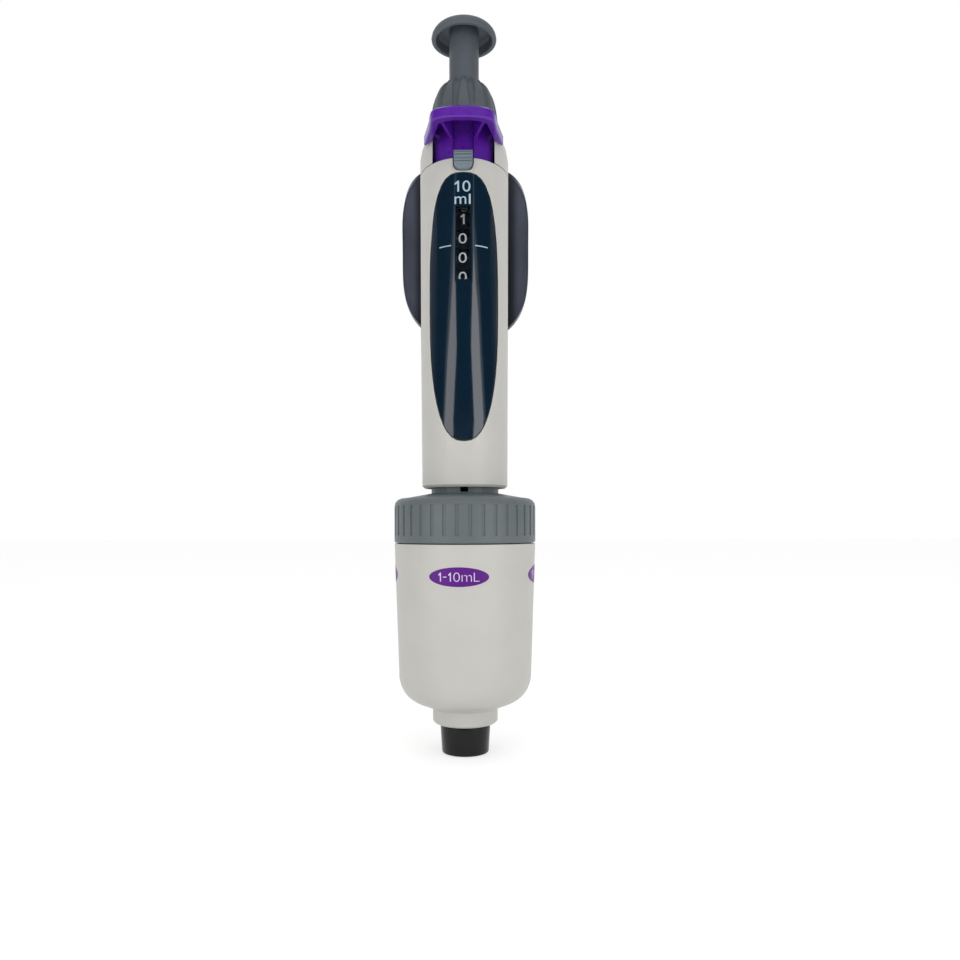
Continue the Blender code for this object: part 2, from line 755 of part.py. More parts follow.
def grip_grooves():
    """One cutter with a round-ended bar at each groove."""
    edit = bmesh.new()
    half = GRIP_WIDTH / 2
    inner_r = COLLAR_R - GRIP_DEPTH
    outer_r = COLLAR_R + 1
    ends = [(half, GRIP_TOP_Z), (-half, GRIP_TOP_Z), (-half, GRIP_BOTTOM_Z + half / 2)]
    ends += [(0, GRIP_BOTTOM_Z), (half, GRIP_BOTTOM_Z + half / 2)]
    for i in range(GRIP_COUNT):
        angle = 2 * math.pi * (i + 0.5) / GRIP_COUNT
        out = Vector((math.cos(angle), math.sin(angle), 0))
        side = Vector((-math.sin(angle), math.cos(angle), 0))
        near, far = [
            [edit.verts.new((out * r + side * x + Vector((0, 0, z))) * MM) for x, z in ends]
            for r in (inner_r, outer_r)
        ]
        for k in range(len(ends)):
            after = (k + 1) % len(ends)
            edit.faces.new((near[k], near[after], far[after], far[k]))
        edit.faces.new(near[::-1])
        edit.faces.new(far)
    return finish("grip_grooves", edit)


def spring_washer():
    return tube(
        "spring_washer",
        COUPLING_BORE_R - GAP,
        ROD_R + GAP,
        WASHER_Z,
        WASHER_Z + WASHER_HEIGHT,
        (STEEL, 0.35, 1.0),
        SMALL_STEPS,
    )


def main_spring():
    return spring(
        "main_spring",
        MAIN_COIL_R,
        MAIN_WIRE_R,
        MAIN_SPRING_Z + GAP,
        CAP_Z - GAP,
        MAIN_TURNS,
        (STEEL, 0.3, 1.0),
    )


def spring_cap():
    """A disc on the piston rod that the main spring pushes up."""
    hub_r = ROD_R + FIT_WALL
    bore_r = ROD_R + GAP
    outline = [
        (bore_r, CAP_Z - CAP_HEIGHT),
        (hub_r, CAP_Z - CAP_HEIGHT),
        (hub_r, CAP_Z),
        (CAP_R, CAP_Z),
        (CAP_R, CAP_Z + CAP_HEIGHT),
        (bore_r, CAP_Z + CAP_HEIGHT),
    ]
    return turned("spring_cap", outline, (IVORY, 0.4), SMALL_STEPS)


# Volume drive


def spindle():
    top = ROD_END_Z + FIT_WALL * 2
    return rod("spindle", SPINDLE_R, CAP_Z - CAP_HEIGHT, top, (STEEL, 0.25, 1.0))


def stop_collar():
    return tube(
        "stop_collar",
        STOP_COLLAR_R,
        SPINDLE_R + GAP,
        STOP_COLLAR_Z,
        STOP_COLLAR_Z + STOP_COLLAR_HEIGHT,
        (STEEL, 0.3, 1.0),
        SMALL_STEPS,
    )


def stop_cup():
    """Travels up the lead tube as the knob turns. Two ribs keep it from turning with it."""
    bore_r = LEAD_R + GAP
    hole_r = SPINDLE_R + 2 * RUN
    outline = [
        (hole_r, CUP_BOTTOM_Z),
        (CUP_R, CUP_BOTTOM_Z),
        (CUP_R, CUP_TOP_Z),
        (bore_r, CUP_TOP_Z),
        (bore_r, CUP_INNER_FLOOR_Z),
        (hole_r, CUP_INNER_FLOOR_Z),
    ]
    made = turned("stop_cup", outline, (IVORY, 0.4))
    reach = GUIDE_R - RUN
    half = CUP_RIB_WIDTH / 2
    for side in (-1, 1):
        inner_x, outer_x = sorted((side * (CUP_R - 1), side * reach))
        rib = box(
            f"cup_rib_{side}",
            (inner_x, -half, CUP_BOTTOM_Z),
            (outer_x, half, CUP_BOTTOM_Z + CUP_RIB_HEIGHT),
        )
        combine(made, rib, "UNION")
    return made


def stop_guide():
    bottom = CUP_BOTTOM_Z - GAP
    made = tube("stop_guide", GUIDE_R, CUP_R + GAP, bottom, GUIDE_TOP_Z, (IVORY, 0.4))
    half = CUP_RIB_WIDTH / 2 + GAP
    slot_top = CUP_BOTTOM_Z + CUP_RIB_HEIGHT + ADJUST_TRAVEL + GAP
    for side in (-1, 1):
        inner_x, outer_x = sorted((side * CUP_R, side * (GUIDE_R + 1)))
        slot = box(f"guide_slot_{side}", (inner_x, -half, bottom - 1), (outer_x, half, slot_top))
        combine(made, slot)
    beside = EJECTOR_ROD_FOOT_WIDTH / 2 + GAP
    rod_slot = box(
        "rod_slot",
        (-beside, -GUIDE_R - 1, bottom - 1),
        (beside, -CUP_R, CUP_BOTTOM_Z + EJECTOR_TRAVEL + GAP),
    )
    return combine(made, rod_slot)


def blowout_spring():
    return spring(
        "blowout_spring",
        STOP_COLLAR_R - 2 * BLOWOUT_WIRE_R,
        BLOWOUT_WIRE_R,
        CUP_INNER_FLOOR_Z + GAP,
        BLOWOUT_TOP_Z,
        BLOWOUT_TURNS,
        (STEEL, 0.3, 1.0),
    )


def drive_sleeve():
    """One turned piece: lead tube below, wheel seat, notched lock ring, and the tube to the knob."""
    lead_ceiling_z = LEAD_TOP_Z - LEAD_ROOF
    lock_top_z = LOCK_RING_Z + SLEEVE_FLOOR
    top_z = KNOB_BASE_Z + KNOB_HUB_DEPTH
    outline = [
        (LEAD_BORE_R, LEAD_BOTTOM_Z),
        (LEAD_R, LEAD_BOTTOM_Z),
        (LEAD_R, LEAD_TOP_Z),
        (SLEEVE_R, LEAD_TOP_Z),
        (SLEEVE_R, LOCK_RING_Z),
        (LOCK_RING_R, LOCK_RING_Z),
        (LOCK_RING_R, lock_top_z),
        (UPPER_SLEEVE_R, lock_top_z),
        (UPPER_SLEEVE_R, top_z),
        (UPPER_SLEEVE_BORE_R, top_z),
        (UPPER_SLEEVE_BORE_R, lock_top_z),
        (SLEEVE_BORE_R, lock_top_z),
        (SLEEVE_BORE_R, lead_ceiling_z),
        (LEAD_BORE_R, lead_ceiling_z),
    ]
    made = turned("drive_sleeve", outline, (IVORY, 0.4))
    edit = bmesh.new()
    half = LOCK_NOTCH_WIDTH / 2
    corners = [(UPPER_SLEEVE_R + GAP, -half), (LOCK_RING_R + 1, -half)]
    corners += [(LOCK_RING_R + 1, half), (UPPER_SLEEVE_R + GAP, half)]
    for i in range(LOCK_NOTCHES):
        angle = -math.pi / 2 + 2 * math.pi * i / LOCK_NOTCHES
        out = Vector((math.cos(angle), math.sin(angle), 0))
        side = Vector((-math.sin(angle), math.cos(angle), 0))
        low, high = [
            [edit.verts.new((out * r + side * s + Vector((0, 0, z))) * MM) for r, s in corners]
            for z in (LOCK_RING_Z - 1, lock_top_z + 1)
        ]
        for k in range(4):
            after = (k + 1) % 4
            edit.faces.new((low[k], low[after], high[after], high[k]))
        edit.faces.new(low[::-1])
        edit.faces.new(high)
    return combine(made, finish("lock_notches", edit))


def toothed(tip, root, teeth, z, turn):
    """A ring of pointed teeth, two points to a tooth, with its first root at turn."""
    points = []
    for i in range(2 * teeth):
        radius = tip if i % 2 else root
        angle = turn + math.pi * i / teeth
        points.append((radius * math.cos(angle), radius * math.sin(angle), z))
    return points


def number_wheel(index):
    """The wheels count down from the top. All but the lowest carry a gear ring for a pinion."""
    bottom = WHEEL_BOTTOM_Z + (WHEEL_COUNT - index) * WHEEL_PITCH
    name = f"number_wheel_{index}"
    look = (BLACK, 0.45)
    height = WHEEL_PITCH - GAP
    if index == WHEEL_COUNT:
        return tube(name, WHEEL_R, WHEEL_BORE_R, 0, height, look, at=(0, 0, bottom))
    tip = WHEEL_PITCH_R + TOOTH_REACH
    root = WHEEL_PITCH_R - TOOTH_ROOT
    count = 2 * WHEEL_TEETH

    rings = [
        circle(WHEEL_R, count, 0, math.pi / 2),
        circle(WHEEL_R, count, RIM_HEIGHT, math.pi / 2),
        toothed(tip, root, WHEEL_TEETH, RIM_HEIGHT, math.pi / 2),
        toothed(tip, root, WHEEL_TEETH, height, math.pi / 2),
        circle(WHEEL_BORE_R, count, height, math.pi / 2),
        circle(WHEEL_BORE_R, count, 0, math.pi / 2),
    ]
    return lofted(name, rings, look, closed=True, at=(0, 0, bottom))


def carry_pinion(index):
    """Meshes with the gear ring of the wheel above it, one tooth standing in the wheel's gap."""
    tip = PINION_PITCH_R + TOOTH_REACH
    root = PINION_PITCH_R - TOOTH_ROOT
    bottom = WHEEL_BOTTOM_Z + (WHEEL_COUNT - index) * WHEEL_PITCH + RIM_HEIGHT + RUN
    height = WHEEL_PITCH - GAP - RIM_HEIGHT - 2 * RUN + GAP / 2
    bore_r = PINION_SHAFT_R + RUN
    count = 2 * PINION_TEETH
    turn = -math.pi / 2 - math.pi / PINION_TEETH
    rings = [
        toothed(tip, root, PINION_TEETH, 0, turn),
        toothed(tip, root, PINION_TEETH, height, turn),
        circle(bore_r, count, height, turn),
        circle(bore_r, count, 0, turn),
    ]
    name = f"carry_pinion_{index}"
    return lofted(name, rings, (IVORY, 0.4), closed=True, at=(0, PINION_Y, bottom))


def pinion_shaft():
    bottom = LOWER_PLATE_Z + PLATE_HEIGHT + GAP
    top = UPPER_PLATE_Z - GAP
    return rod(
        "pinion_shaft", PINION_SHAFT_R, bottom, top, (STEEL, 0.25, 1.0), 12, (0, PINION_Y, 0)
    )


def handle_share(z):
    return smooth((z - HANDLE_BOTTOM_Z) / (HANDLE_FULL_Z - HANDLE_BOTTOM_Z))


def oval(half_width, front, back, z, steps=LARGE_STEPS):
    points = []
    for i in range(steps):
        angle = 2 * math.pi * i / steps
        depth = back if math.sin(angle) > 0 else front
        points.append((half_width * math.cos(angle), depth * math.sin(angle), z))
    return points


def handle_ring(z, inset=0.0):
    """The handle's section at height z, drawn in by inset all round."""
    share = handle_share(z)
    half_width = BOTTOM_HALF_WIDTH + (TOP_HALF_WIDTH - BOTTOM_HALF_WIDTH) * share
    front = BOTTOM_FRONT + (TOP_FRONT - BOTTOM_FRONT) * share
    back = BOTTOM_BACK + (TOP_BACK - BOTTOM_BACK) * share
    return oval(half_width - inset, front - inset, back - inset, z)


def counter_frame():
    """Two oval plates joined by side posts hold the wheels, the drive sleeve and the pinion shaft."""
    half_width = TOP_HALF_WIDTH - HANDLE_WALL - GAP
    back = TOP_BACK - HANDLE_WALL - GAP
    bore_r = SLEEVE_R + GAP
    lower_z = (LOWER_PLATE_Z, LOWER_PLATE_Z + PLATE_HEIGHT)
    upper_z = (UPPER_PLATE_Z, UPPER_PLATE_Z + PLATE_HEIGHT)

    def plate(name, heights, look=None):
        rings = []
        for z in heights:
            rings.append(oval(half_width, PLATE_FRONT, back, z, MEDIUM_STEPS))
        return lofted(name, rings, look)

    made = plate("counter_frame", lower_z, (SEAL_GREY, 0.5))
    combine(made, plate("upper_plate", upper_z), "UNION")
    for side in (-1, 1):
        inner_x, outer_x = sorted((side * (half_width - FRAME_POST - 1), side * (half_width - 1)))
        post = box(
            f"frame_post_{side}",
            (inner_x, -FRAME_POST, lower_z[0] + PLATE_HEIGHT / 2),
            (outer_x, FRAME_POST, upper_z[0] + PLATE_HEIGHT / 2),
        )
        combine(made, post, "UNION")
    combine(made, rod("frame_bore", bore_r, lower_z[0] - 1, upper_z[1] + 1, steps=MEDIUM_STEPS))
    half = LOCK_TOOTH_WIDTH / 2 + GAP
    notch = box("tooth_notch", (-half, -PLATE_FRONT - 1, upper_z[0] - 1), (half, 0, upper_z[1] + 1))
    return combine(made, notch)


# Handle and lens


def handle_shell():
    stations = [HANDLE_BOTTOM_Z + HANDLE_EDGE]
    span = HANDLE_FULL_Z - HANDLE_BOTTOM_Z
    stations += [HANDLE_BOTTOM_Z + span * share for share in SHELL_STATIONS]
    stations.append(HANDLE_TOP_Z)
    rings = [handle_ring(HANDLE_BOTTOM_Z, HANDLE_EDGE)]
    rings += [handle_ring(z) for z in stations]
    rings += [handle_ring(z, HANDLE_WALL) for z in reversed(stations)]
    rings.append(handle_ring(HANDLE_BOTTOM_Z, HANDLE_WALL))
    made = lofted("handle_shell", rings, (WARM_WHITE, 0.42), closed=True)
    combine(made, lens_layer("lens_pocket", GAP, -2 * GAP, LENS_POCKET))
    slot_width = WINDOW_HALF_WIDTH + WINDOW_EDGE
    slot = box(
        "window_slot",
        (-slot_width, -TOP_FRONT - 2, WINDOW_BOTTOM_Z - WINDOW_EDGE),
        (slot_width, -TOP_FRONT / 2, WINDOW_TOP_Z + WINDOW_EDGE),
    )
    combine(made, slot)
    half = SLIDER_WIDTH / 2 + GAP
    gate = box(
        "slider_gate",
        (-half, -TOP_FRONT - 2, SLIDER_BOTTOM_Z - GAP),
        (half, -TOP_FRONT / 2, HANDLE_TOP_Z + 1),
    )
    return combine(made, gate)


def lens_outline(grow, steps=44):
    """The lens's oval, a superellipse, as (x, z) points."""
    middle = (LENS_TOP_Z + LENS_BOTTOM_Z) / 2
    half_height = (LENS_TOP_Z - LENS_BOTTOM_Z) / 2 + grow
    half_width = LENS_HALF_WIDTH + grow
    power = 2 / LENS_POWER
    points = []
    for i in range(steps):
        angle = 2 * math.pi * i / steps
        across, up = math.cos(angle), math.sin(angle)
        x = half_width * math.copysign(abs(across) ** power, across)
        z = half_height * math.copysign(abs(up) ** power, up)
        points.append((x, middle + z))
    return points


def lens_layer(name, grow, outer_inset, inner_inset, look=None):
    """The part of a layer of the handle's surface that lies inside the lens's oval."""
    reach = LENS_TOP_Z + FIT_WALL
    start = LENS_BOTTOM_Z - FIT_WALL
    span = HANDLE_FULL_Z - HANDLE_BOTTOM_Z
    middle = [HANDLE_BOTTOM_Z + span * share for share in SHELL_STATIONS]
    stations = [start, *[z for z in middle if start < z < reach], reach]
    rings = [handle_ring(z, outer_inset) for z in stations]
    rings += [handle_ring(z, inner_inset) for z in reversed(stations)]
    made = lofted(name, rings, look, closed=True)
    window = front_prism(f"{name}_oval", lens_outline(grow), -TOP_FRONT - 4, -TOP_FRONT / 3)
    return combine(made, window, "INTERSECT")


def display_panel():
    inner = LENS_POCKET - GAP
    made = lens_layer("display_panel", 0, -LENS_STAND_OUT, inner, (NAVY, 0.12))
    slot = box(
        "lens_slot",
        (-WINDOW_HALF_WIDTH, -TOP_FRONT - 2, WINDOW_BOTTOM_Z),
        (WINDOW_HALF_WIDTH, -TOP_FRONT / 2, WINDOW_TOP_Z),
    )
    return combine(made, slot)


def window_pane():
    half = WINDOW_HALF_WIDTH - GAP / 2
    front = -TOP_FRONT + GAP
    return box(
        "window_pane",
        (-half, front, WINDOW_BOTTOM_Z + GAP / 2),
        (half, front + PANE_THICKNESS, WINDOW_TOP_Z - GAP / 2),
        (CLEAR, 0.05),
    )


# Head, knob and button


def head_ring(z, inset=0.0):
    """The head's section: the handle's oval, closing to a circle that matches the knob."""
    share = smooth((z - HEAD_SHOULDER_Z) / (HEAD_TOP_Z - HEAD_SHOULDER_Z) * 0.9)
    half_width = TOP_HALF_WIDTH + (HEAD_TOP_R - TOP_HALF_WIDTH) * share
    front = TOP_FRONT + (HEAD_TOP_R - TOP_FRONT) * share
    back = TOP_BACK + (HEAD_TOP_R - TOP_BACK) * share
    return oval(half_width - inset, front - inset, back - inset, z)


def front_y(x, inset):
    """How far forward the head's front wall stands at x, drawn in by inset."""
    return -(TOP_FRONT - inset) * math.sqrt(1 - (x / (TOP_HALF_WIDTH - inset)) ** 2)


def slab_outline(half_width, outer_inset, inner_inset, steps=12):
    """A strip of the head's front wall, between two insets, as (x, y) points."""
    across = [half_width * (2 * i / steps - 1) for i in range(steps + 1)]
    outer = [(x, front_y(x, outer_inset)) for x in across]
    inner = [(x, front_y(x, inner_inset)) for x in across]
    return outer + inner[::-1]


def upper_housing():
    """The head: a domed oval cup with its front cut open between two rails, and a spigot below."""
    bottom = HANDLE_TOP_Z + GAP
    ceiling = HEAD_TOP_Z - HEAD_CEILING
    rise = HEAD_TOP_Z - HEAD_SHOULDER_Z
    levels = [HEAD_SHOULDER_Z + rise * share for share in (0, 0.3, 0.6, 0.85)]
    rings = [head_ring(z) for z in (bottom, *levels)]
    rings.append(head_ring(HEAD_TOP_Z, NOSE_EDGE / 2))
    solid = lofted("upper_housing", rings, (WARM_WHITE, 0.42))
    hollow = lofted(
        "head_hollow",
        [head_ring(z, HANDLE_WALL) for z in (bottom - 1, HEAD_SHOULDER_Z, ceiling)],
    )
    combine(solid, hollow)
    spigot_rings = [
        [(x, y, z) for x, y, _ in handle_ring(HANDLE_TOP_Z, inset)]
        for inset, z in (
            (HANDLE_WALL + GAP, HANDLE_TOP_Z - SPIGOT_DEPTH),
            (HANDLE_WALL + GAP, bottom + 1),
            (HANDLE_WALL + GAP + SPIGOT_WALL, bottom + 1),
            (HANDLE_WALL + GAP + SPIGOT_WALL, HANDLE_TOP_Z - SPIGOT_DEPTH),
        )
    ]
    lip_rings = [
        [(x, y, z) for x, y, _ in handle_ring(HANDLE_TOP_Z, inset)]
        for inset, z in (
            (HANDLE_WALL / 2, bottom),
            (HANDLE_WALL / 2, bottom + 1),
            (HANDLE_WALL + GAP + SPIGOT_WALL, bottom + 1),
            (HANDLE_WALL + GAP + SPIGOT_WALL, bottom),
        )
    ]
    combine(solid, lofted("head_spigot", spigot_rings, closed=True), "UNION")
    combine(solid, lofted("head_lip", lip_rings, closed=True), "UNION")
    inner = HANDLE_WALL + GAP + PLATE_WALL + GAP
    opening = prism(
        "head_opening",
        slab_outline(RAIL_INNER_X, -HANDLE_WALL, inner),
        HANDLE_TOP_Z - SPIGOT_DEPTH - 1,
        HEAD_TOP_Z + 1,
    )
    combine(solid, opening)
    middle_half = CHANNEL_HALF_WIDTH + FLOOR_SPREAD + GAP
    middle_opening = box(
        "channel_opening",
        (-middle_half, -TOP_FRONT - 1, HANDLE_TOP_Z - SPIGOT_DEPTH - 2),
        (middle_half, front_y(middle_half, inner) + CHANNEL_BULGE, HEAD_TOP_Z + 2),
    )
    combine(solid, middle_opening)
    combine(solid, rod("head_bore", HEAD_BORE_R, ceiling - 1, HEAD_TOP_Z + 1, steps=MEDIUM_STEPS))
    for side in (-1, 1):
        combine(solid, screw_hole(f"head_screw_hole_{side}", side))
    return solid


def rest_screw_outline(grow, lead):
    """Head first, then shank, as (radius, depth) points. The hole is the same shape, grown."""
    return [
        (0, -lead),
        (REST_SCREW_HEAD_R + grow, -lead),
        (REST_SCREW_HEAD_R + grow, REST_SCREW_HEAD_HEIGHT),
        (REST_SCREW_R + grow, REST_SCREW_HEAD_HEIGHT),
        (REST_SCREW_R + grow, REST_SCREW_LENGTH + grow),
        (0, REST_SCREW_LENGTH + grow),
    ]


def screw_along(name, outline, side, look=None):
    """A screw or its hole, pointing backwards at the middle of the bridge."""
    middle = (BRIDGE_BOTTOM_Z + BRIDGE_TOP_Z) / 2
    at = (side * REST_SCREW_X, REST_SCREW_SEAT_Y - REST_SCREW_HEAD_HEIGHT, middle)
    made = turned(name, outline, look, SMALL_STEPS, at)
    made.rotation_euler.x = -math.pi / 2
    return made


def screw_hole(name, side):
    return screw_along(name, rest_screw_outline(GAP, FIT_WALL), side)


def knob_bush():
    top = HEAD_TOP_Z - GAP
    inner_r = UPPER_SLEEVE_R + RUN
    bottom = HEAD_TOP_Z - HEAD_CEILING + GAP
    return tube("knob_bush", inner_r + BUSH_WALL, inner_r, bottom, top, (IVORY, 0.4))


def adjusting_knob():
    """A fluted bell. Its hub sits on the drive sleeve, and its flutes fade out at the rim and neck."""
    count = 4 * KNOB_FLUTES
    rise = KNOB_TOP_Z - KNOB_BASE_Z
    side = bend(
        (KNOB_BASE_R, KNOB_BASE_Z + rise * 0.08),
        (KNOB_BASE_R * 0.93, KNOB_BASE_Z + rise * 0.8),
        (KNOB_TOP_R + 0.6, KNOB_TOP_Z - rise * 0.06),
        5,
    )

    def fluted(radius, z, depth):
        points = []
        for i in range(count):
            angle = 2 * math.pi * i / count
            wave = 0.5 - 0.5 * math.cos(KNOB_FLUTES * angle)
            r = radius - depth * wave
            points.append((r * math.cos(angle), r * math.sin(angle), z))
        return points

    hub_r = UPPER_SLEEVE_R + GAP
    hub_z = KNOB_BASE_Z + KNOB_HUB_DEPTH + GAP
    bore_r = BUTTON_ROD_R + RUN
    rings = [fluted(KNOB_BASE_R, KNOB_BASE_Z, 0)]
    for i, (radius, z) in enumerate(side):
        share = min(1.0, 0.35 + 1.3 * math.sin(math.pi * i / (len(side) - 1)))
        rings.append(fluted(radius, z, KNOB_FLUTE_DEPTH * share))
    rings.append(fluted(KNOB_TOP_R, KNOB_TOP_Z, 0))
    rings.append(circle(bore_r, count, KNOB_TOP_Z))
    rings.append(circle(bore_r, count, hub_z))
    rings.append(circle(hub_r, count, hub_z))
    rings.append(circle(hub_r, count, KNOB_BASE_Z))
    return lofted("adjusting_knob", rings, (DARK_GREY, 0.5), closed=True)


def button_rod():
    socket_r = SPINDLE_R + RUN
    top = BUTTON_RIM_Z + BUTTON_HOLLOW - GAP
    socket_z = ROD_END_Z + 2 * FIT_WALL + GAP
    outline = [
        (socket_r, ROD_END_Z),
        (BUTTON_ROD_R, ROD_END_Z),
        (BUTTON_ROD_R, top),
        (0, top),
        (0, socket_z),
        (socket_r, socket_z),
    ]
    edit_outline = [*outline[3::-1], *outline[:3:-1]]
    return turned("button_rod", edit_outline, (DARK_GREY, 0.45), MEDIUM_STEPS)


def push_button():
    """A shallow hollow cap: flat disc on top, sloped shoulder, round rim, hollow below."""
    hollow_z = BUTTON_RIM_Z + BUTTON_HOLLOW
    inner_r = BUTTON_R - BUTTON_WALL
    outline = [
        (0, BUTTON_TOP_Z),
        (BUTTON_DISC_R - 1, BUTTON_TOP_Z),
        *bend(
            (BUTTON_DISC_R, BUTTON_TOP_Z - 0.2),
            (BUTTON_R - 0.3, BUTTON_TOP_Z - 1.0),
            (BUTTON_R, BUTTON_RIM_Z + 0.7),
            4,
        ),
        (BUTTON_R - 0.35, BUTTON_RIM_Z),
        (inner_r, BUTTON_RIM_Z),
        (inner_r - 0.3, hollow_z - 0.8),
        (inner_r - 1.1, hollow_z),
        (0, hollow_z),
    ]
    return turned("push_button", outline, (DARK_GREY, 0.5), LARGE_STEPS)


# Ejector and lock


def hood_outline(inset):
    """The hood seen from below, as (x, y) points: a round front with sides that spread backwards."""
    front = HOOD_FRONT_Y + inset
    leg_x = HOOD_LEG_HALF_WIDTH - inset
    side = (leg_x - 2.0, HOOD_SIDE_Y)
    shoulder = (HOOD_LEG_HALF_WIDTH - 3.2 - inset * 0.8, front + 2.6)
    curve = bend((0, front), (shoulder[0] - 1.6, front), shoulder, 4)
    curve += bend(shoulder, (side[0] - 0.5, front + 4.0), side, 3)[1:]
    curve.append((leg_x, HOOD_LEG_Y))
    mirrored = [(-x, y) for x, y in curve[:0:-1]]
    return mirrored + curve


def hood_ring(inset, z):
    return [(x, y, z) for x, y in hood_outline(inset)]


def roof_ring(inset, drop=0.0):
    """The hood's top, a flat thumb rest that rises towards the plate."""
    return [(x, y, roof_height(y) - drop) for x, y in hood_outline(inset)]


def roof_height(y):
    share = (y - HOOD_FRONT_Y) / (HOOD_LEG_Y - HOOD_FRONT_Y)
    return HOOD_FRONT_TOP_Z + HOOD_ROUNDING + (HOOD_BACK_TOP_Z - HOOD_FRONT_TOP_Z) * share


def plate_curve(inset, bulge_half_width, bulge, steps=5):
    """One face of the sliding plate, as (x, y) points, stepped back by bulge across its middle."""
    span = PLATE_HALF_WIDTH - bulge_half_width
    points = []
    for i in range(steps + 1):
        x = -PLATE_HALF_WIDTH + span * i / steps
        points.append((x, front_y(x, inset)))
    points.append((-bulge_half_width, front_y(bulge_half_width, inset) + bulge))
    points.append((0, front_y(0, inset) + bulge))
    return points + [(-x, y) for x, y in points[-2::-1]]


def rail_clearance():
    """Cuts the hood's legs back to the handle's sides, and leaves its middle, which joins the plate."""
    reach = (HOOD_RIM_Z - 2, HOOD_BACK_TOP_Z + 4)
    rings = [[(x, y, z) for x, y, _ in handle_ring(HANDLE_TOP_Z, -GAP)] for z in reach]
    sides = lofted("rail_clearance", rings)
    middle = box(
        "hood_middle",
        (-PLATE_HALF_WIDTH + GAP, -TOP_FRONT - 1, reach[0] - 1),
        (PLATE_HALF_WIDTH - GAP, TOP_BACK + 1, reach[1] + 1),
    )
    return combine(sides, middle)


def hood():
    """A hollow shelf for the thumb, open below, whose legs reach back beside the rails."""
    shelf = lofted(
        "hood",
        [
            hood_ring(0.3, HOOD_RIM_Z),
            hood_ring(0, HOOD_RIM_Z + 0.4),
            hood_ring(0, HOOD_FRONT_TOP_Z - HOOD_ROUNDING),
            hood_ring(HOOD_ROUNDING, HOOD_FRONT_TOP_Z),
            roof_ring(HOOD_SLOPE),
        ],
    )
    hollow = lofted(
        "hood_hollow",
        [
            hood_ring(HOOD_WALL, HOOD_RIM_Z - 1),
            hood_ring(HOOD_WALL + 0.2, HOOD_FRONT_TOP_Z - HOOD_ROOF),
            roof_ring(HOOD_WALL + HOOD_SLOPE, HOOD_ROOF),
        ],
    )
    combine(shelf, hollow)
    combine(shelf, rail_clearance())
    middle = HANDLE_WALL + GAP + PLATE_WALL / 2
    back = plate_curve(middle, CHANNEL_HALF_WIDTH, CHANNEL_DEPTH)
    back = [(-RAIL_INNER_X - 4, back[0][1]), *back, (RAIL_INNER_X + 4, back[0][1])]
    back += [(RAIL_INNER_X + 4, TOP_BACK), (-RAIL_INNER_X - 4, TOP_BACK)]
    return combine(shelf, prism("hood_back", back, HOOD_RIM_Z - 3, HOOD_BACK_TOP_Z + 5))


def ejector_button():
    """Hood, gussets and sliding plate in one moulding. The plate slides down behind the handle."""
    outer = HANDLE_WALL + GAP
    front = plate_curve(outer, CHANNEL_HALF_WIDTH, CHANNEL_DEPTH)
    back = plate_curve(outer + PLATE_WALL, CHANNEL_HALF_WIDTH + FLOOR_SPREAD, CHANNEL_BULGE)
    plate = prism("ejector_button", front + back[::-1], PLATE_BOTTOM_Z, PLATE_TOP_Z, (PURPLE, 0.28))
    combine(plate, hood(), "UNION")
    back_y = -TOP_FRONT + outer + GUSSET_WIDTH / 2
    for side in (-1, 1):
        near = (side * GUSSET_BACK_X, back_y)
        far = (side * GUSSET_FRONT_X, GUSSET_FRONT_Y)
        across = Vector((far[1] - near[1], near[0] - far[0])).normalized() * GUSSET_WIDTH / 2
        corners = [
            (near[0] + across.x, near[1] + across.y),
            (far[0] + across.x, far[1] + across.y),
            (far[0] - across.x, far[1] - across.y),
            (near[0] - across.x, near[1] - across.y),
        ]
        rings = [
            [(x, y, HOOD_RIM_Z + HOOD_ROOF / 6) for x, y in corners],
            [(x, y, roof_height(y) - HOOD_ROOF / 2) for x, y in corners],
        ]
        combine(plate, lofted(f"gusset_{side}", rings), "UNION")
    nub_top = roof_height(NUB_Y) - HOOD_ROOF / 2
    nub = rod("nub", NUB_R, HOOD_RIM_Z + 0.5, nub_top, at=(0, NUB_Y, 0), steps=10)
    combine(plate, nub, "UNION")
    tab_z = PLATE_BOTTOM_Z + EJECTOR_TRAVEL / 2
    tab_half = EJECTOR_COIL_R + EJECTOR_WIRE_R
    tab_front = front_y(EJECTOR_SPRING_X, outer + PLATE_WALL / 2)
    tab = box(
        "spring_tab",
        (EJECTOR_SPRING_X - tab_half / 2, tab_front, tab_z),
        (EJECTOR_SPRING_X + tab_half, EJECTOR_SPRING_Y + tab_half, tab_z + SPRING_TAB_HEIGHT),
    )
    return combine(plate, tab, "UNION")


def ejector_spring():
    bottom = UPPER_PLATE_Z + PLATE_HEIGHT + GAP
    top = PLATE_BOTTOM_Z + EJECTOR_TRAVEL / 2 - GAP
    return spring(
        "ejector_spring",
        EJECTOR_COIL_R,
        EJECTOR_WIRE_R,
        bottom,
        top,
        EJECTOR_TURNS,
        (STEEL, 0.3, 1.0),
        at=(EJECTOR_SPRING_X, EJECTOR_SPRING_Y),
        sides=4,
        steps=8,
    )


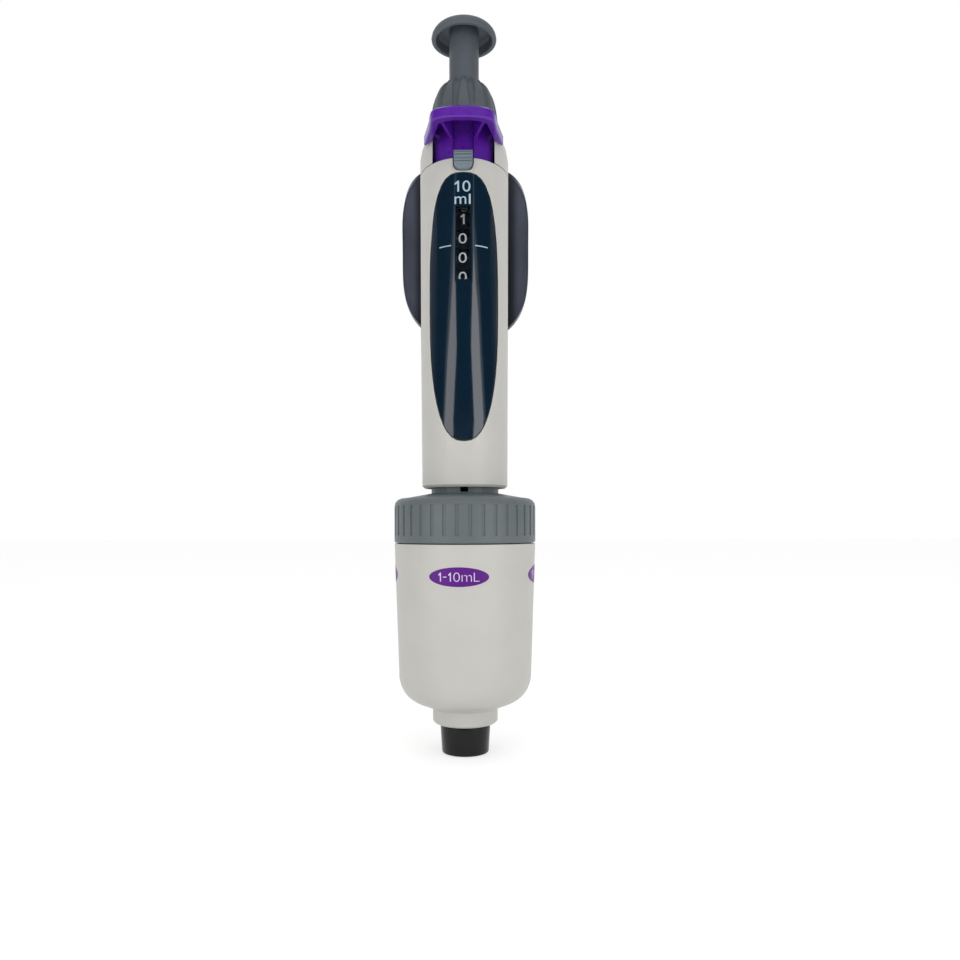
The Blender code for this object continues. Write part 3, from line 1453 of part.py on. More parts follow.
def ejector_rod():
    """A flat strip from the plate down past the wheels, then to the slot in the neck."""
    beside = (EJECTOR_ROD_X, EJECTOR_ROD_Y)
    halfway = (EJECTOR_ROD_X * 0.6, (EJECTOR_ROD_Y + EJECTOR_ROD_LOW_Y) / 2)
    below = (0, EJECTOR_ROD_LOW_Y)
    slot_y = -(COUPLING_BORE_R + COUPLING_INNER_R) / 2 - GAP
    wide = EJECTOR_ROD_WIDTH / 2
    narrow = EJECTOR_ROD_FOOT_WIDTH / 2
    half = EJECTOR_ROD_THICKNESS / 2
    stations = [
        (*beside, PLATE_BOTTOM_Z + EJECTOR_TRAVEL / 2, narrow),
        (*beside, PLATE_BOTTOM_Z - 1, wide),
        (*beside, WHEEL_BOTTOM_Z, wide),
        (*halfway, CUP_TOP_Z + ADJUST_TRAVEL - 1, wide),
        (*below, GUIDE_TOP_Z + EJECTOR_TRAVEL + 1, narrow),
        (*below, CUP_BOTTOM_Z + EJECTOR_TRAVEL, narrow),
        (0, slot_y, COUPLING_TOP_Z - 1, narrow),
        (0, slot_y, EJECTOR_ROD_END_Z, narrow),
    ]
    rings = []
    for x, y, z, reach in reversed(stations):
        rings.append(
            [
                (x - reach, y - half, z),
                (x + reach, y - half, z),
                (x + reach, y + half, z),
                (x - reach, y + half, z),
            ]
        )
    return lofted("ejector_rod", rings, (STEEL, 0.35, 1.0))


def lock_slider():
    """A ridged thumb pad with a round lower end. Its tail ends in a tooth that meets the lock ring."""
    half = SLIDER_WIDTH / 2
    round_z = SLIDER_BOTTOM_Z + half * 0.8
    front = -TOP_FRONT - SLIDER_STAND_OUT
    inner = -TOP_FRONT + HANDLE_WALL + GAP
    pad = [(-half, SLIDER_TOP_Z), (-half, round_z)]
    pad += bend((-half, round_z), (-half, SLIDER_BOTTOM_Z), (0, SLIDER_BOTTOM_Z), 4)[1:]
    pad += bend((0, SLIDER_BOTTOM_Z), (half, SLIDER_BOTTOM_Z), (half, round_z), 4)[1:]
    pad.append((half, SLIDER_TOP_Z))
    made = front_prism("lock_slider", pad, front, inner, (SLIDER_GREY, 0.45))
    pitch = (SLIDER_TOP_Z - round_z) / SLIDER_RIDGES
    for i in range(SLIDER_RIDGES):
        z = round_z + pitch * (i + 0.1)
        ridge = box(
            f"ridge_valley_{i}",
            (-half - 1, front - 1, z),
            (half + 1, front + 0.25, z + pitch * 0.45),
        )
        combine(made, ridge)
    tail = LOCK_TAIL_WIDTH / 2
    tooth = LOCK_TOOTH_WIDTH / 2
    tooth_z = LOCK_RING_Z - LOCK_TRAVEL - RUN / 2
    stem = box("lock_tail", (-tail, inner - 0.01, tooth_z), (tail, inner + LOCK_TAIL_WALL, round_z + 1))
    combine(made, stem, "UNION")
    finger = box(
        "lock_tooth",
        (-tooth, inner + LOCK_TAIL_WALL / 2, tooth_z),
        (tooth, -UPPER_SLEEVE_R - 2 * GAP, tooth_z + LOCK_TOOTH_HEIGHT),
    )
    return combine(made, finger, "UNION")


# Finger rest


def rest_path(share):
    """The hook's back as seen from the side, from its foot (0) to its top edge (1), as (y, z)."""
    back_z = REST_BOTTOM_Z + (REST_TOP_Z - REST_BOTTOM_Z) * 0.45
    if share < 0.4:
        foot = (REST_DEPTH - REST_FOOT_LEAN, REST_BOTTOM_Z)
        corner = (REST_DEPTH - 0.5, REST_BOTTOM_Z + 12)
        return bend_point(foot, corner, (REST_DEPTH, back_z), share / 0.4)
    top = (TOP_BACK + REST_TOP_GAP, REST_TOP_Z)
    corner = (REST_DEPTH, REST_TOP_Z - 5)
    return bend_point((REST_DEPTH, back_z), corner, top, (share - 0.4) / 0.6)


def rest_section(along, columns=8):
    """One closed section of the hook, square to its path: the outer arc, then the inner one."""
    share = (along + 1) / 2
    y, z = rest_path(share)
    before = rest_path(share - 0.01)
    after = rest_path(share + 0.01)
    ahead = Vector((after[0] - before[0], after[1] - before[1])).normalized()
    outward = Vector((ahead.y, -ahead.x))
    width = REST_HALF_WIDTH * (1 - abs(along) ** REST_POWER) ** (1 / REST_POWER)
    sag = REST_SAG * (width / REST_HALF_WIDTH) ** 2 * (1 - 0.6 * smooth((along - 0.1) / 0.9))
    outer, inner = [], []
    for i in range(columns + 1):
        angle = (2 * i / columns - 1) * math.pi / 2
        x = width * math.sin(angle)
        drop = sag * (1 - math.cos(angle))
        thick = REST_THICKNESS * (1 - 0.45 * abs(math.sin(angle)) ** 6) * (1 - 0.4 * abs(along) ** 8)
        for points, depth in ((outer, drop), (inner, drop + thick)):
            points.append((x, y - outward.x * depth, z - outward.y * depth))
    return outer + inner[::-1]


def finger_rest():
    """A broad hook behind the handle, hollow towards it. Its flat bridge hangs on a stand's peg."""
    rows = 12
    sections = [rest_section(-0.99 * math.cos(math.pi * k / rows)) for k in range(rows + 1)]
    made = lofted("finger_rest", sections, (SLATE, 0.6))
    bridge = box(
        "rest_bridge",
        (-BRIDGE_HALF_WIDTH, TOP_BACK + GAP, BRIDGE_BOTTOM_Z),
        (BRIDGE_HALF_WIDTH, BRIDGE_REACH, BRIDGE_TOP_Z),
    )
    combine(made, bridge, "UNION")
    for side in (-1, 1):
        combine(made, screw_hole(f"rest_screw_hole_{side}", side))
    return made


def finger_rest_screw(index, side):
    """Its head sits in the head's back wall, and its shank reaches into the bridge."""
    name = f"finger_rest_screw_{index}"
    return screw_along(name, rest_screw_outline(0, 0), side, (STEEL, 0.3, 1.0))


def main():
    clear_scene()
    nose_cone()
    nose_o_ring()
    tip_filter()
    barrel()
    piston()
    piston_seal()
    seal_retainer()
    piston_screw()
    piston_rod()
    barrel_gasket()
    neck_coupling()
    barrel_collar()
    spring_washer()
    main_spring()
    spring_cap()
    spindle()
    stop_collar()
    stop_cup()
    stop_guide()
    blowout_spring()
    drive_sleeve()
    for index in range(1, WHEEL_COUNT + 1):
        number_wheel(index)
    for index in range(1, WHEEL_COUNT):
        carry_pinion(index)
    pinion_shaft()
    counter_frame()
    handle_shell()
    display_panel()
    window_pane()
    upper_housing()
    knob_bush()
    adjusting_knob()
    button_rod()
    push_button()
    ejector_button()
    ejector_spring()
    ejector_rod()
    lock_slider()
    finger_rest()
    for index, side in ((1, -1), (2, 1)):
        finger_rest_screw(index, side)


main()
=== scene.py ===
import json
import math

import bpy
from mathutils import Matrix, Vector


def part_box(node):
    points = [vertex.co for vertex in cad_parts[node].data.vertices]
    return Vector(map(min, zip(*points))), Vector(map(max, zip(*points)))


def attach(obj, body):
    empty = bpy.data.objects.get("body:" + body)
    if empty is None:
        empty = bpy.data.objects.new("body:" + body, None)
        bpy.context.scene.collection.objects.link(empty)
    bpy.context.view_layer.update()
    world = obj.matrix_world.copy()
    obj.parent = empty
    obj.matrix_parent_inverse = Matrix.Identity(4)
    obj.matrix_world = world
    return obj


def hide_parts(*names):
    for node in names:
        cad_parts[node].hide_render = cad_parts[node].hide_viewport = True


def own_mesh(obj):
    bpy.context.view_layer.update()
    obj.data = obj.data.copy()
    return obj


# Lengths and heights are in millimetres and angles in degrees, unless a name says otherwise.
MM = 0.001

# The photo's camera, worked out from the ellipses of its round pieces
IMAGE = 960
EYE = (4.8, -262.5, 72.3)
FOCAL_PIXELS = 820
EYE_ROW = 525
SENSOR = 36
LEAN = 0.12

# Sizes of the solids that the visible pieces keep to
NECK_R = 10.35
BARREL_TOP_R = 22.4
WHEEL_R = 7.0
WHEEL_MIDDLES = {1: 167.6, 2: 161.6, 3: 155.6, 4: 149.6}
LABEL_Z = 57.0
LABEL_TURNS = (-4, 86, 176, 266)
LABEL_HALF_WIDTH = 8.9
LABEL_HALF_HEIGHT = 2.9

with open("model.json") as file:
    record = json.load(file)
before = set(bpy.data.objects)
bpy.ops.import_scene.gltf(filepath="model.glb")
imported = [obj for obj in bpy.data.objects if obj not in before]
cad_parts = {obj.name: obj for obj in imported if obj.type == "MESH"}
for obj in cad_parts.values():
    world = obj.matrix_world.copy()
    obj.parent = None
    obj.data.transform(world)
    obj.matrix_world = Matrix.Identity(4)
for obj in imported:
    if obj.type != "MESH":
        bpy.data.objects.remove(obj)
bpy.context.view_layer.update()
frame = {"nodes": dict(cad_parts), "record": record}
nodes = frame["nodes"]
body_of = {}
for body, members in frame["record"]["behaviour"]["bodies"].items():
    for member in members:
        body_of[member] = body
slot_of = {part["node"]: part["material_slot"] for part in frame["record"]["subparts"]}


# Small helpers


def deselect_everything():
    bpy.ops.object.select_all(action="DESELECT")


def hold(piece):
    """Selects this piece alone and makes it the active one."""
    deselect_everything()
    piece.select_set(True)
    bpy.context.view_layer.objects.active = piece


def rgb(red, green, blue):
    """A colour as a paint mixer names it, 0 to 255, as the light values that shaders take."""
    channels = []
    for value in (red, green, blue):
        share = value / 255
        channels.append(share / 12.92 if share <= 0.04045 else ((share + 0.055) / 1.055) ** 2.4)
    return (*channels, 1)


# Shared effects


def effect_group(name, inputs, outputs):
    """A node group with named inputs and outputs, each given as (kind, name, value)."""
    group = bpy.data.node_groups.new(name, "ShaderNodeTree")
    for kind, label, value in inputs:
        made = group.interface.new_socket(name=label, in_out="INPUT", socket_type=kind)
        made.default_value = value
    for kind, label in outputs:
        group.interface.new_socket(name=label, in_out="OUTPUT", socket_type=kind)
    start = group.nodes.new("NodeGroupInput")
    start.location = (-900, 0)
    end = group.nodes.new("NodeGroupOutput")
    end.location = (700, 0)
    return group, start, end


def millimetres(tree, place=(-700, -200)):
    """Object coordinates counted in millimetres."""
    where = tree.nodes.new("ShaderNodeTexCoord")
    where.location = (place[0] - 200, place[1])
    scale = tree.nodes.new("ShaderNodeMapping")
    scale.location = place
    scale.inputs["Scale"].default_value = (1000, 1000, 1000)
    tree.links.new(where.outputs["Object"], scale.inputs["Vector"])
    return scale.outputs["Vector"]


def noise(tree, vector, size, detail=2.0, place=(-400, 0)):
    """A noise with its size given as a number or by a socket."""
    node = tree.nodes.new("ShaderNodeTexNoise")
    node.location = place
    node.inputs["Detail"].default_value = detail
    tree.links.new(vector, node.inputs["Vector"])
    if isinstance(size, float):
        node.inputs["Scale"].default_value = size
    else:
        tree.links.new(size, node.inputs["Scale"])
    return node.outputs["Fac"]


def spread(tree, value, low, high, place=(-150, 0), start=0.3, end=0.7):
    """Maps the part of a value from start to end to a range; low and high may be sockets."""
    node = tree.nodes.new("ShaderNodeMapRange")
    node.location = place
    tree.links.new(value, node.inputs["Value"])
    node.inputs["From Min"].default_value = start
    node.inputs["From Max"].default_value = end
    for socket, given in (("To Min", low), ("To Max", high)):
        if isinstance(given, (int, float)):
            node.inputs[socket].default_value = given
        else:
            tree.links.new(given, node.inputs[socket])
    return node.outputs["Result"]


def math_node(tree, operation, one, two, place=(0, 0)):
    """A sum on two values, each a number or a socket."""
    node = tree.nodes.new("ShaderNodeMath")
    node.operation = operation
    node.location = place
    for index, given in enumerate((one, two)):
        if isinstance(given, (int, float)):
            node.inputs[index].default_value = given
        else:
            tree.links.new(given, node.inputs[index])
    return node.outputs["Value"]


def moulded_skin():
    """Injection-moulded plastic: faintly cloudy, with a fine eroded grain and glossier spots."""
    group, start, end = effect_group(
        "moulded_skin",
        [
            ("NodeSocketColor", "Resin", (0.5, 0.5, 0.5, 1)),
            ("NodeSocketColor", "Cloud", (0.45, 0.45, 0.45, 1)),
            ("NodeSocketFloat", "Grain Per Mm", 3.0),
            ("NodeSocketFloat", "Grain Depth", 0.01),
            ("NodeSocketFloat", "Smooth Spots", 0.3),
            ("NodeSocketFloat", "Rough Spots", 0.5),
        ],
        [
            ("NodeSocketColor", "Colour"),
            ("NodeSocketFloat", "Roughness"),
            ("NodeSocketVector", "Normal"),
        ],
    )
    place = millimetres(group)
    cloud = noise(group, place, 0.11, 3.0, (-400, 300))
    share = spread(group, cloud, 0.0, 1.0, (-150, 300))
    mix = group.nodes.new("ShaderNodeMix")
    mix.data_type = "RGBA"
    mix.location = (200, 300)
    group.links.new(share, mix.inputs["Factor"])
    group.links.new(start.outputs["Resin"], mix.inputs[6])
    group.links.new(start.outputs["Cloud"], mix.inputs[7])
    group.links.new(mix.outputs[2], end.inputs["Colour"])
    marks = noise(group, place, 0.35, 4.0, (-400, 0))
    rough = spread(
        group, marks, start.outputs["Smooth Spots"], start.outputs["Rough Spots"], (-150, 0)
    )
    group.links.new(rough, end.inputs["Roughness"])
    grain = noise(group, place, start.outputs["Grain Per Mm"], 2.0, (-400, -300))
    depth = math_node(group, "MULTIPLY", start.outputs["Grain Depth"], MM, (-150, -500))
    bump = group.nodes.new("ShaderNodeBump")
    bump.location = (200, -300)
    group.links.new(grain, bump.inputs["Height"])
    group.links.new(depth, bump.inputs["Distance"])
    group.links.new(bump.outputs["Normal"], end.inputs["Normal"])
    return group


def drawn_metal():
    """Turned and drawn metal: fine rings around the axis, with bright and dull bands."""
    group, start, end = effect_group(
        "drawn_metal",
        [
            ("NodeSocketColor", "Bright", (0.6, 0.6, 0.6, 1)),
            ("NodeSocketColor", "Dull", (0.4, 0.4, 0.4, 1)),
            ("NodeSocketFloat", "Rings Per Mm", 8.0),
        ],
        [
            ("NodeSocketColor", "Colour"),
            ("NodeSocketFloat", "Roughness"),
            ("NodeSocketVector", "Normal"),
        ],
    )
    place = millimetres(group)
    flatten = group.nodes.new("ShaderNodeMapping")
    flatten.location = (-550, -400)
    flatten.inputs["Scale"].default_value = (0.05, 0.05, 1.0)
    group.links.new(place, flatten.inputs["Vector"])
    rings = noise(
        group, flatten.outputs["Vector"], start.outputs["Rings Per Mm"], 3.0, (-350, -200)
    )
    share = spread(group, rings, 0.0, 1.0, (-120, 200))
    mix = group.nodes.new("ShaderNodeMix")
    mix.data_type = "RGBA"
    mix.location = (200, 300)
    group.links.new(share, mix.inputs["Factor"])
    group.links.new(start.outputs["Bright"], mix.inputs[6])
    group.links.new(start.outputs["Dull"], mix.inputs[7])
    group.links.new(mix.outputs[2], end.inputs["Colour"])
    group.links.new(spread(group, rings, 0.2, 0.42, (-120, 0)), end.inputs["Roughness"])
    bump = group.nodes.new("ShaderNodeBump")
    bump.location = (200, -300)
    bump.inputs["Distance"].default_value = 0.004 * MM
    group.links.new(rings, bump.inputs["Height"])
    group.links.new(bump.outputs["Normal"], end.inputs["Normal"])
    return group


def part_line():
    """A mask for the hairline that a split mould leaves at a given distance off centre."""
    group, start, end = effect_group(
        "part_line",
        [("NodeSocketFloat", "Off Centre Mm", 0.0), ("NodeSocketFloat", "Width Mm", 0.2)],
        [("NodeSocketFloat", "Mask")],
    )
    place = millimetres(group)
    split = group.nodes.new("ShaderNodeSeparateXYZ")
    split.location = (-450, 0)
    group.links.new(place, split.inputs["Vector"])
    side = math_node(group, "SUBTRACT", split.outputs["X"], start.outputs["Off Centre Mm"])
    near = math_node(group, "ABSOLUTE", side, 0.0, (200, 0))
    inside = math_node(group, "LESS_THAN", near, start.outputs["Width Mm"], (400, 0))
    group.links.new(inside, end.inputs["Mask"])
    return group


SKIN = moulded_skin()
METAL = drawn_metal()
PART_LINE = part_line()


def finish_base(name):
    """A new material, with its tree and its shader."""
    made = bpy.data.materials.new(name)
    made.use_nodes = True
    shader = made.node_tree.nodes["Principled BSDF"]
    return made, made.node_tree, shader


def moulded(name, resin, cloud, spots, grain=(3.0, 0.01), specular=0.5, coat=0.0):
    """A plastic or rubber, given its two tones, its smooth and rough spots, and its grain."""
    made, tree, shader = finish_base(name)
    skin = tree.nodes.new("ShaderNodeGroup")
    skin.node_tree = SKIN
    skin.location = (-300, 200)
    skin.inputs["Resin"].default_value = resin
    skin.inputs["Cloud"].default_value = cloud
    skin.inputs["Smooth Spots"].default_value = spots[0]
    skin.inputs["Rough Spots"].default_value = spots[1]
    skin.inputs["Grain Per Mm"].default_value = grain[0]
    skin.inputs["Grain Depth"].default_value = grain[1]
    tree.links.new(skin.outputs["Colour"], shader.inputs["Base Color"])
    tree.links.new(skin.outputs["Roughness"], shader.inputs["Roughness"])
    tree.links.new(skin.outputs["Normal"], shader.inputs["Normal"])
    shader.inputs["Specular IOR Level"].default_value = specular
    shader.inputs["Coat Weight"].default_value = coat
    shader.inputs["Coat Roughness"].default_value = 0.06
    return made


def metal(name, bright, dull, rings=8.0):
    """A bare metal, given its two tones and how fine its rings are."""
    made, tree, shader = finish_base(name)
    lines = tree.nodes.new("ShaderNodeGroup")
    lines.node_tree = METAL
    lines.location = (-300, 200)
    lines.inputs["Bright"].default_value = bright
    lines.inputs["Dull"].default_value = dull
    lines.inputs["Rings Per Mm"].default_value = rings
    tree.links.new(lines.outputs["Colour"], shader.inputs["Base Color"])
    tree.links.new(lines.outputs["Roughness"], shader.inputs["Roughness"])
    tree.links.new(lines.outputs["Normal"], shader.inputs["Normal"])
    shader.inputs["Metallic"].default_value = 1.0
    return made


CONE_LINE_X = -5.6
CONE_LINE_WIDTH = 0.12
PANE_IOR = 1.15
# How strongly the numerals glow: painted light
NUMERAL_PAINTED_GLOW = 0.22


def glossy_black():
    """The tip cone: deep gloss with one hairline from the mould."""
    made = moulded(
        "cone_gloss", rgb(8, 9, 11), rgb(12, 13, 15), (0.16, 0.26), (1.5, 0.008), 0.28
    )
    tree = made.node_tree
    shader = tree.nodes["Principled BSDF"]
    skin = next(node for node in tree.nodes if node.type == "GROUP")
    line = tree.nodes.new("ShaderNodeGroup")
    line.node_tree = PART_LINE
    line.location = (-300, -300)
    line.inputs["Off Centre Mm"].default_value = CONE_LINE_X
    line.inputs["Width Mm"].default_value = CONE_LINE_WIDTH
    bump = tree.nodes.new("ShaderNodeBump")
    bump.invert = True
    bump.location = (-50, -300)
    bump.inputs["Distance"].default_value = 0.05 * MM
    tree.links.new(line.outputs["Mask"], bump.inputs["Height"])
    tree.links.new(skin.outputs["Normal"], bump.inputs["Normal"])
    tree.links.new(bump.outputs["Normal"], shader.inputs["Normal"])
    return made


def clear_pane():
    """The window over the numerals. Lamp light falls through it unbent, and its low index keeps
    the white room's mirror image off its back."""
    made, tree, shader = finish_base("window_clear")
    shader.inputs["Base Color"].default_value = rgb(250, 252, 254)
    shader.inputs["Transmission Weight"].default_value = 1.0
    shader.inputs["IOR"].default_value = PANE_IOR
    where = millimetres(tree)
    haze = noise(tree, where, 0.5, 3.0, (-400, -100))
    tree.links.new(spread(tree, haze, 0.0, 0.015, (-180, -100)), shader.inputs["Roughness"])
    rays = tree.nodes.new("ShaderNodeLightPath")
    rays.location = (0, 500)
    through = tree.nodes.new("ShaderNodeBsdfTransparent")
    through.location = (0, -400)
    mix = tree.nodes.new("ShaderNodeMixShader")
    mix.location = (500, 300)
    end = tree.nodes["Material Output"]
    end.location = (750, 300)
    tree.links.new(rays.outputs["Is Shadow Ray"], mix.inputs["Fac"])
    tree.links.new(shader.outputs["BSDF"], mix.inputs[1])
    tree.links.new(through.outputs["BSDF"], mix.inputs[2])
    tree.links.new(mix.outputs["Shader"], end.inputs["Surface"])
    return made


finishes = {
    "cone_black": glossy_black(),
    "seal_rubber": moulded("seal_rubber", rgb(24, 24, 26), rgb(34, 34, 36), (0.6, 0.8)),
    "filter_foam": moulded(
        "filter_foam", rgb(232, 230, 218), rgb(205, 202, 188), (0.85, 1.0), (2.2, 0.25)
    ),
    "body_white": moulded(
        "handle_white", rgb(195, 194, 189), rgb(192, 191, 186), (0.4, 0.46), (3.0, 0.008), 0.4
    ),
    "inner_ivory": moulded(
        "inner_ivory", rgb(216, 210, 192), rgb(206, 199, 180), (0.35, 0.5), (2.0, 0.01)
    ),
    "seal_grey": moulded("seal_grey", rgb(60, 62, 66), rgb(50, 52, 56), (0.5, 0.7)),
    "steel": metal("rod_steel", rgb(196, 198, 200), rgb(150, 152, 156)),
    "spring_steel": metal("spring_steel", rgb(188, 190, 194), rgb(138, 140, 146), 5.0),
    "coupling_grey": moulded(
        "collar_grey", rgb(99, 108, 110), rgb(94, 103, 105), (0.4, 0.5), (2.8, 0.012), 0.4
    ),
    "brass": metal("stop_brass", rgb(205, 172, 104), rgb(160, 128, 70)),
    "wheel_black": moulded(
        "wheel_black", rgb(26, 38, 50), rgb(30, 42, 54), (0.45, 0.6), (3.0, 0.004), 0.02
    ),
    "frame_grey": moulded("frame_grey", rgb(40, 42, 46), rgb(48, 50, 54), (0.5, 0.65)),
    "lens_navy": moulded(
        "lens_navy", rgb(3, 27, 43), rgb(4, 30, 48), (0.08, 0.12), (0.6, 0.003), 0.5, 0.5
    ),
    "window_clear": clear_pane(),
    "knob_grey": moulded(
        "knob_grey", rgb(86, 93, 99), rgb(78, 85, 91), (0.4, 0.55), (2.8, 0.014), 0.4
    ),
    "ejector_purple": moulded(
        "ejector_purple", rgb(88, 22, 156), rgb(85, 19, 151), (0.27, 0.33), (4.0, 0.005), 0.5, 0.1
    ),
    "slider_grey": moulded(
        "slider_grey", rgb(125, 139, 147), rgb(116, 130, 139), (0.38, 0.5), (2.8, 0.012), 0.4
    ),
    "rest_slate": moulded(
        "rest_slate", rgb(94, 99, 116), rgb(88, 93, 109), (0.34, 0.44), (2.8, 0.01), 0.45
    ),
}


# Where the painted shade on the hook's hollow side is darkest, near the handle, and where it fades
# out at the rim
PAINTED_SHADE_DARKEST_X = 15.0
PAINTED_SHADE_END_X = 21.0


def darker_inside():
    """The hook's hollow side, a lighter copy of the slate with painted shade that darkens it from
    its rim towards the handle, as in the photo.
    """
    made = moulded(
        "rest_painted_shade", rgb(122, 128, 147), rgb(114, 120, 138), (0.32, 0.42), (2.8, 0.01), 0.45
    )
    tree = made.node_tree
    shader = tree.nodes["Principled BSDF"]
    skin = next(node for node in tree.nodes if node.type == "GROUP")
    where = millimetres(tree, (-900, 500))
    split = tree.nodes.new("ShaderNodeSeparateXYZ")
    split.location = (-700, 500)
    tree.links.new(where, split.inputs["Vector"])
    off_centre = math_node(tree, "ABSOLUTE", split.outputs["X"], 0.0, (-550, 500))
    # Painted shade: the base colour is multiplied darker towards the handle, where the handle
    # shades the hollow
    reach = tree.nodes.new("ShaderNodeMapRange")
    reach.location = (-400, 500)
    reach.inputs["From Min"].default_value = PAINTED_SHADE_DARKEST_X
    reach.inputs["From Max"].default_value = PAINTED_SHADE_END_X
    tree.links.new(off_centre, reach.inputs["Value"])
    ramp = tree.nodes.new("ShaderNodeValToRGB")
    ramp.location = (-250, 500)
    ramp.color_ramp.elements[0].color = (0.07, 0.07, 0.08, 1)
    ramp.color_ramp.elements[1].color = (1, 1, 1, 1)
    for place, shade in ((0.25, 0.22), (0.55, 0.72)):
        ramp.color_ramp.elements.new(place).color = (shade, shade, shade * 1.02, 1)
    tree.links.new(reach.outputs["Result"], ramp.inputs["Fac"])
    shade = tree.nodes.new("ShaderNodeMix")
    shade.data_type = "RGBA"
    shade.blend_type = "MULTIPLY"
    shade.location = (-50, 400)
    shade.inputs["Factor"].default_value = 1.0
    tree.links.new(skin.outputs["Colour"], shade.inputs[6])
    tree.links.new(ramp.outputs["Color"], shade.inputs[7])
    tree.links.new(shade.outputs[2], shader.inputs["Base Color"])
    return made


rest_painted_shade = darker_inside()
label_purple = moulded(
    "label_purple", rgb(92, 8, 132), rgb(86, 6, 124), (0.36, 0.44), (2.0, 0.002), 0.3
)
label_lilac = moulded(
    "label_lilac", rgb(226, 214, 236), rgb(214, 200, 228), (0.4, 0.5), (2.0, 0.004)
)
numeral_white = moulded(
    "numeral_white", rgb(252, 254, 255), rgb(246, 250, 252), (0.45, 0.6), (2.5, 0.002)
)
numeral_shader = numeral_white.node_tree.nodes["Principled BSDF"]
# Painted light: the white numerals glow faintly, standing in for light that hardly reaches them
# behind the window
numeral_shader.inputs["Emission Color"].default_value = rgb(214, 226, 236)
numeral_shader.inputs["Emission Strength"].default_value = NUMERAL_PAINTED_GLOW
lens_print = moulded(
    "lens_print", rgb(176, 198, 212), rgb(162, 185, 200), (0.25, 0.35), (2.0, 0.003)
)

for name, node in nodes.items():
    node.data.materials.clear()
    node.data.materials.append(finishes[slot_of[name]])


# Pieces that stand for CAD nodes


def tidy_mesh(merge, flat):
    """In edit mode: closes the loose triangles and joins the flat ones into whole faces."""
    bpy.ops.mesh.select_all(action="SELECT")
    bpy.ops.mesh.remove_doubles(threshold=merge * MM)
    bpy.ops.mesh.dissolve_degenerate(threshold=merge * MM)
    bpy.ops.mesh.dissolve_limited(angle_limit=math.radians(flat))
    bpy.ops.mesh.normals_make_consistent(inside=False)


def place_on(piece, node):
    """Gives a piece the look and the body of the CAD node that it stands for, and hides the node.
    """
    piece.data.materials.clear()
    piece.data.materials.append(finishes[slot_of[node]])
    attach(piece, body_of[node])
    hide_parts(node)


# The lens's oval and the handle's wall, as the solids have them, and the photo's rounder oval
LENS_MIDDLE_Z = 137.85
LENS_HALF_HEIGHT = 39.95
LENS_HALF_WIDTH = 10.2
HANDLE_HALF_WIDTH = 14.05
HANDLE_FRONT = 17.0
SOLID_OVAL = 2.5
ROUND_OVAL = 3.2


def oval_reach(across, up, power):
    """How far a superellipse of half-widths 1 reaches in a direction."""
    size = math.hypot(across, up)
    return (abs(across / size) ** power + abs(up / size) ** power) ** (-1 / power)


def on_layer(x, y, new_x):
    """The y of a point that slides sideways within its own layer of the handle's oval wall."""
    low, high = -1.0, 6.0
    for _ in range(40):
        depth = (low + high) / 2
        value = (x / (HANDLE_HALF_WIDTH - depth)) ** 2 + (y / (HANDLE_FRONT - depth)) ** 2
        low, high = (depth, high) if value < 1 else (low, depth)
    wide = HANDLE_HALF_WIDTH - depth
    return y * math.sqrt((1 - (new_x / wide) ** 2) / (1 - (x / wide) ** 2))


def round_lens_top(mesh):
    """Gives the upper half of the lens, or of its opening, the photo's rounder outline."""
    for vertex in mesh.vertices:
        x, y, z = vertex.co / MM
        across, up = x / LENS_HALF_WIDTH, (z - LENS_MIDDLE_Z) / LENS_HALF_HEIGHT
        if y > -8 or up < 0 or not 0.96 < abs(across) ** SOLID_OVAL + up**SOLID_OVAL < 1.12:
            continue
        growth = oval_reach(across, up, ROUND_OVAL) / oval_reach(across, up, SOLID_OVAL)
        height = LENS_MIDDLE_Z + up * growth * LENS_HALF_HEIGHT
        vertex.co = Vector((x * growth, on_layer(x, y, x * growth), height)) * MM


def dress(node, edge, smooth, turn=32, merge=0.002, flat=0.6):
    """A copy of a CAD node with its edges rounded, as they come out of a mould."""
    source = nodes[node]
    piece = bpy.data.objects.new(f"{node}_moulding", source.data.copy())
    bpy.context.scene.collection.objects.link(piece)
    if node in ("display_panel", "handle_shell"):
        round_lens_top(piece.data)
    hold(piece)
    if piece.data.has_custom_normals:
        bpy.ops.mesh.customdata_custom_splitnormals_clear()
    bpy.ops.object.mode_set(mode="EDIT")
    tidy_mesh(merge, flat)
    bpy.ops.object.mode_set(mode="OBJECT")
    rounding = piece.modifiers.new("edge_rounding", "BEVEL")
    rounding.width = edge * MM
    rounding.segments = 2
    rounding.limit_method = "ANGLE"
    rounding.angle_limit = math.radians(turn)
    bpy.ops.object.modifier_apply(modifier="edge_rounding")
    bpy.ops.object.shade_smooth_by_angle(angle=math.radians(smooth))
    steady = piece.modifiers.new("steady_faces", "WEIGHTED_NORMAL")
    steady.mode = "FACE_AREA"
    steady.weight = 60
    steady.keep_sharp = True
    bpy.ops.object.modifier_apply(modifier="steady_faces")
    place_on(piece, node)
    return piece


dressed = {}
for node, edge, smooth in (
    ("barrel_collar", 0.12, 35),
    ("handle_shell", 0.15, 35),
    ("display_panel", 0.12, 35),
    ("upper_housing", 0.15, 35),
    ("button_rod", 0.15, 35),
    ("lock_slider", 0.08, 30),
):
    dressed[node] = dress(node, edge, smooth)
dressed["ejector_button"] = dress("ejector_button", 0.15, 35, 38, 0.04, 2.5)


def coil(node):
    """A copy of a CAD spring with a mesh of its own, in the node's look and body."""
    piece = bpy.data.objects.new(f"{node}_coil", nodes[node].data.copy())
    bpy.context.scene.collection.objects.link(piece)
    place_on(piece, node)
    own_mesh(piece)


coil("main_spring")
coil("blowout_spring")
coil("ejector_spring")


# Round pieces, drawn up ring by ring


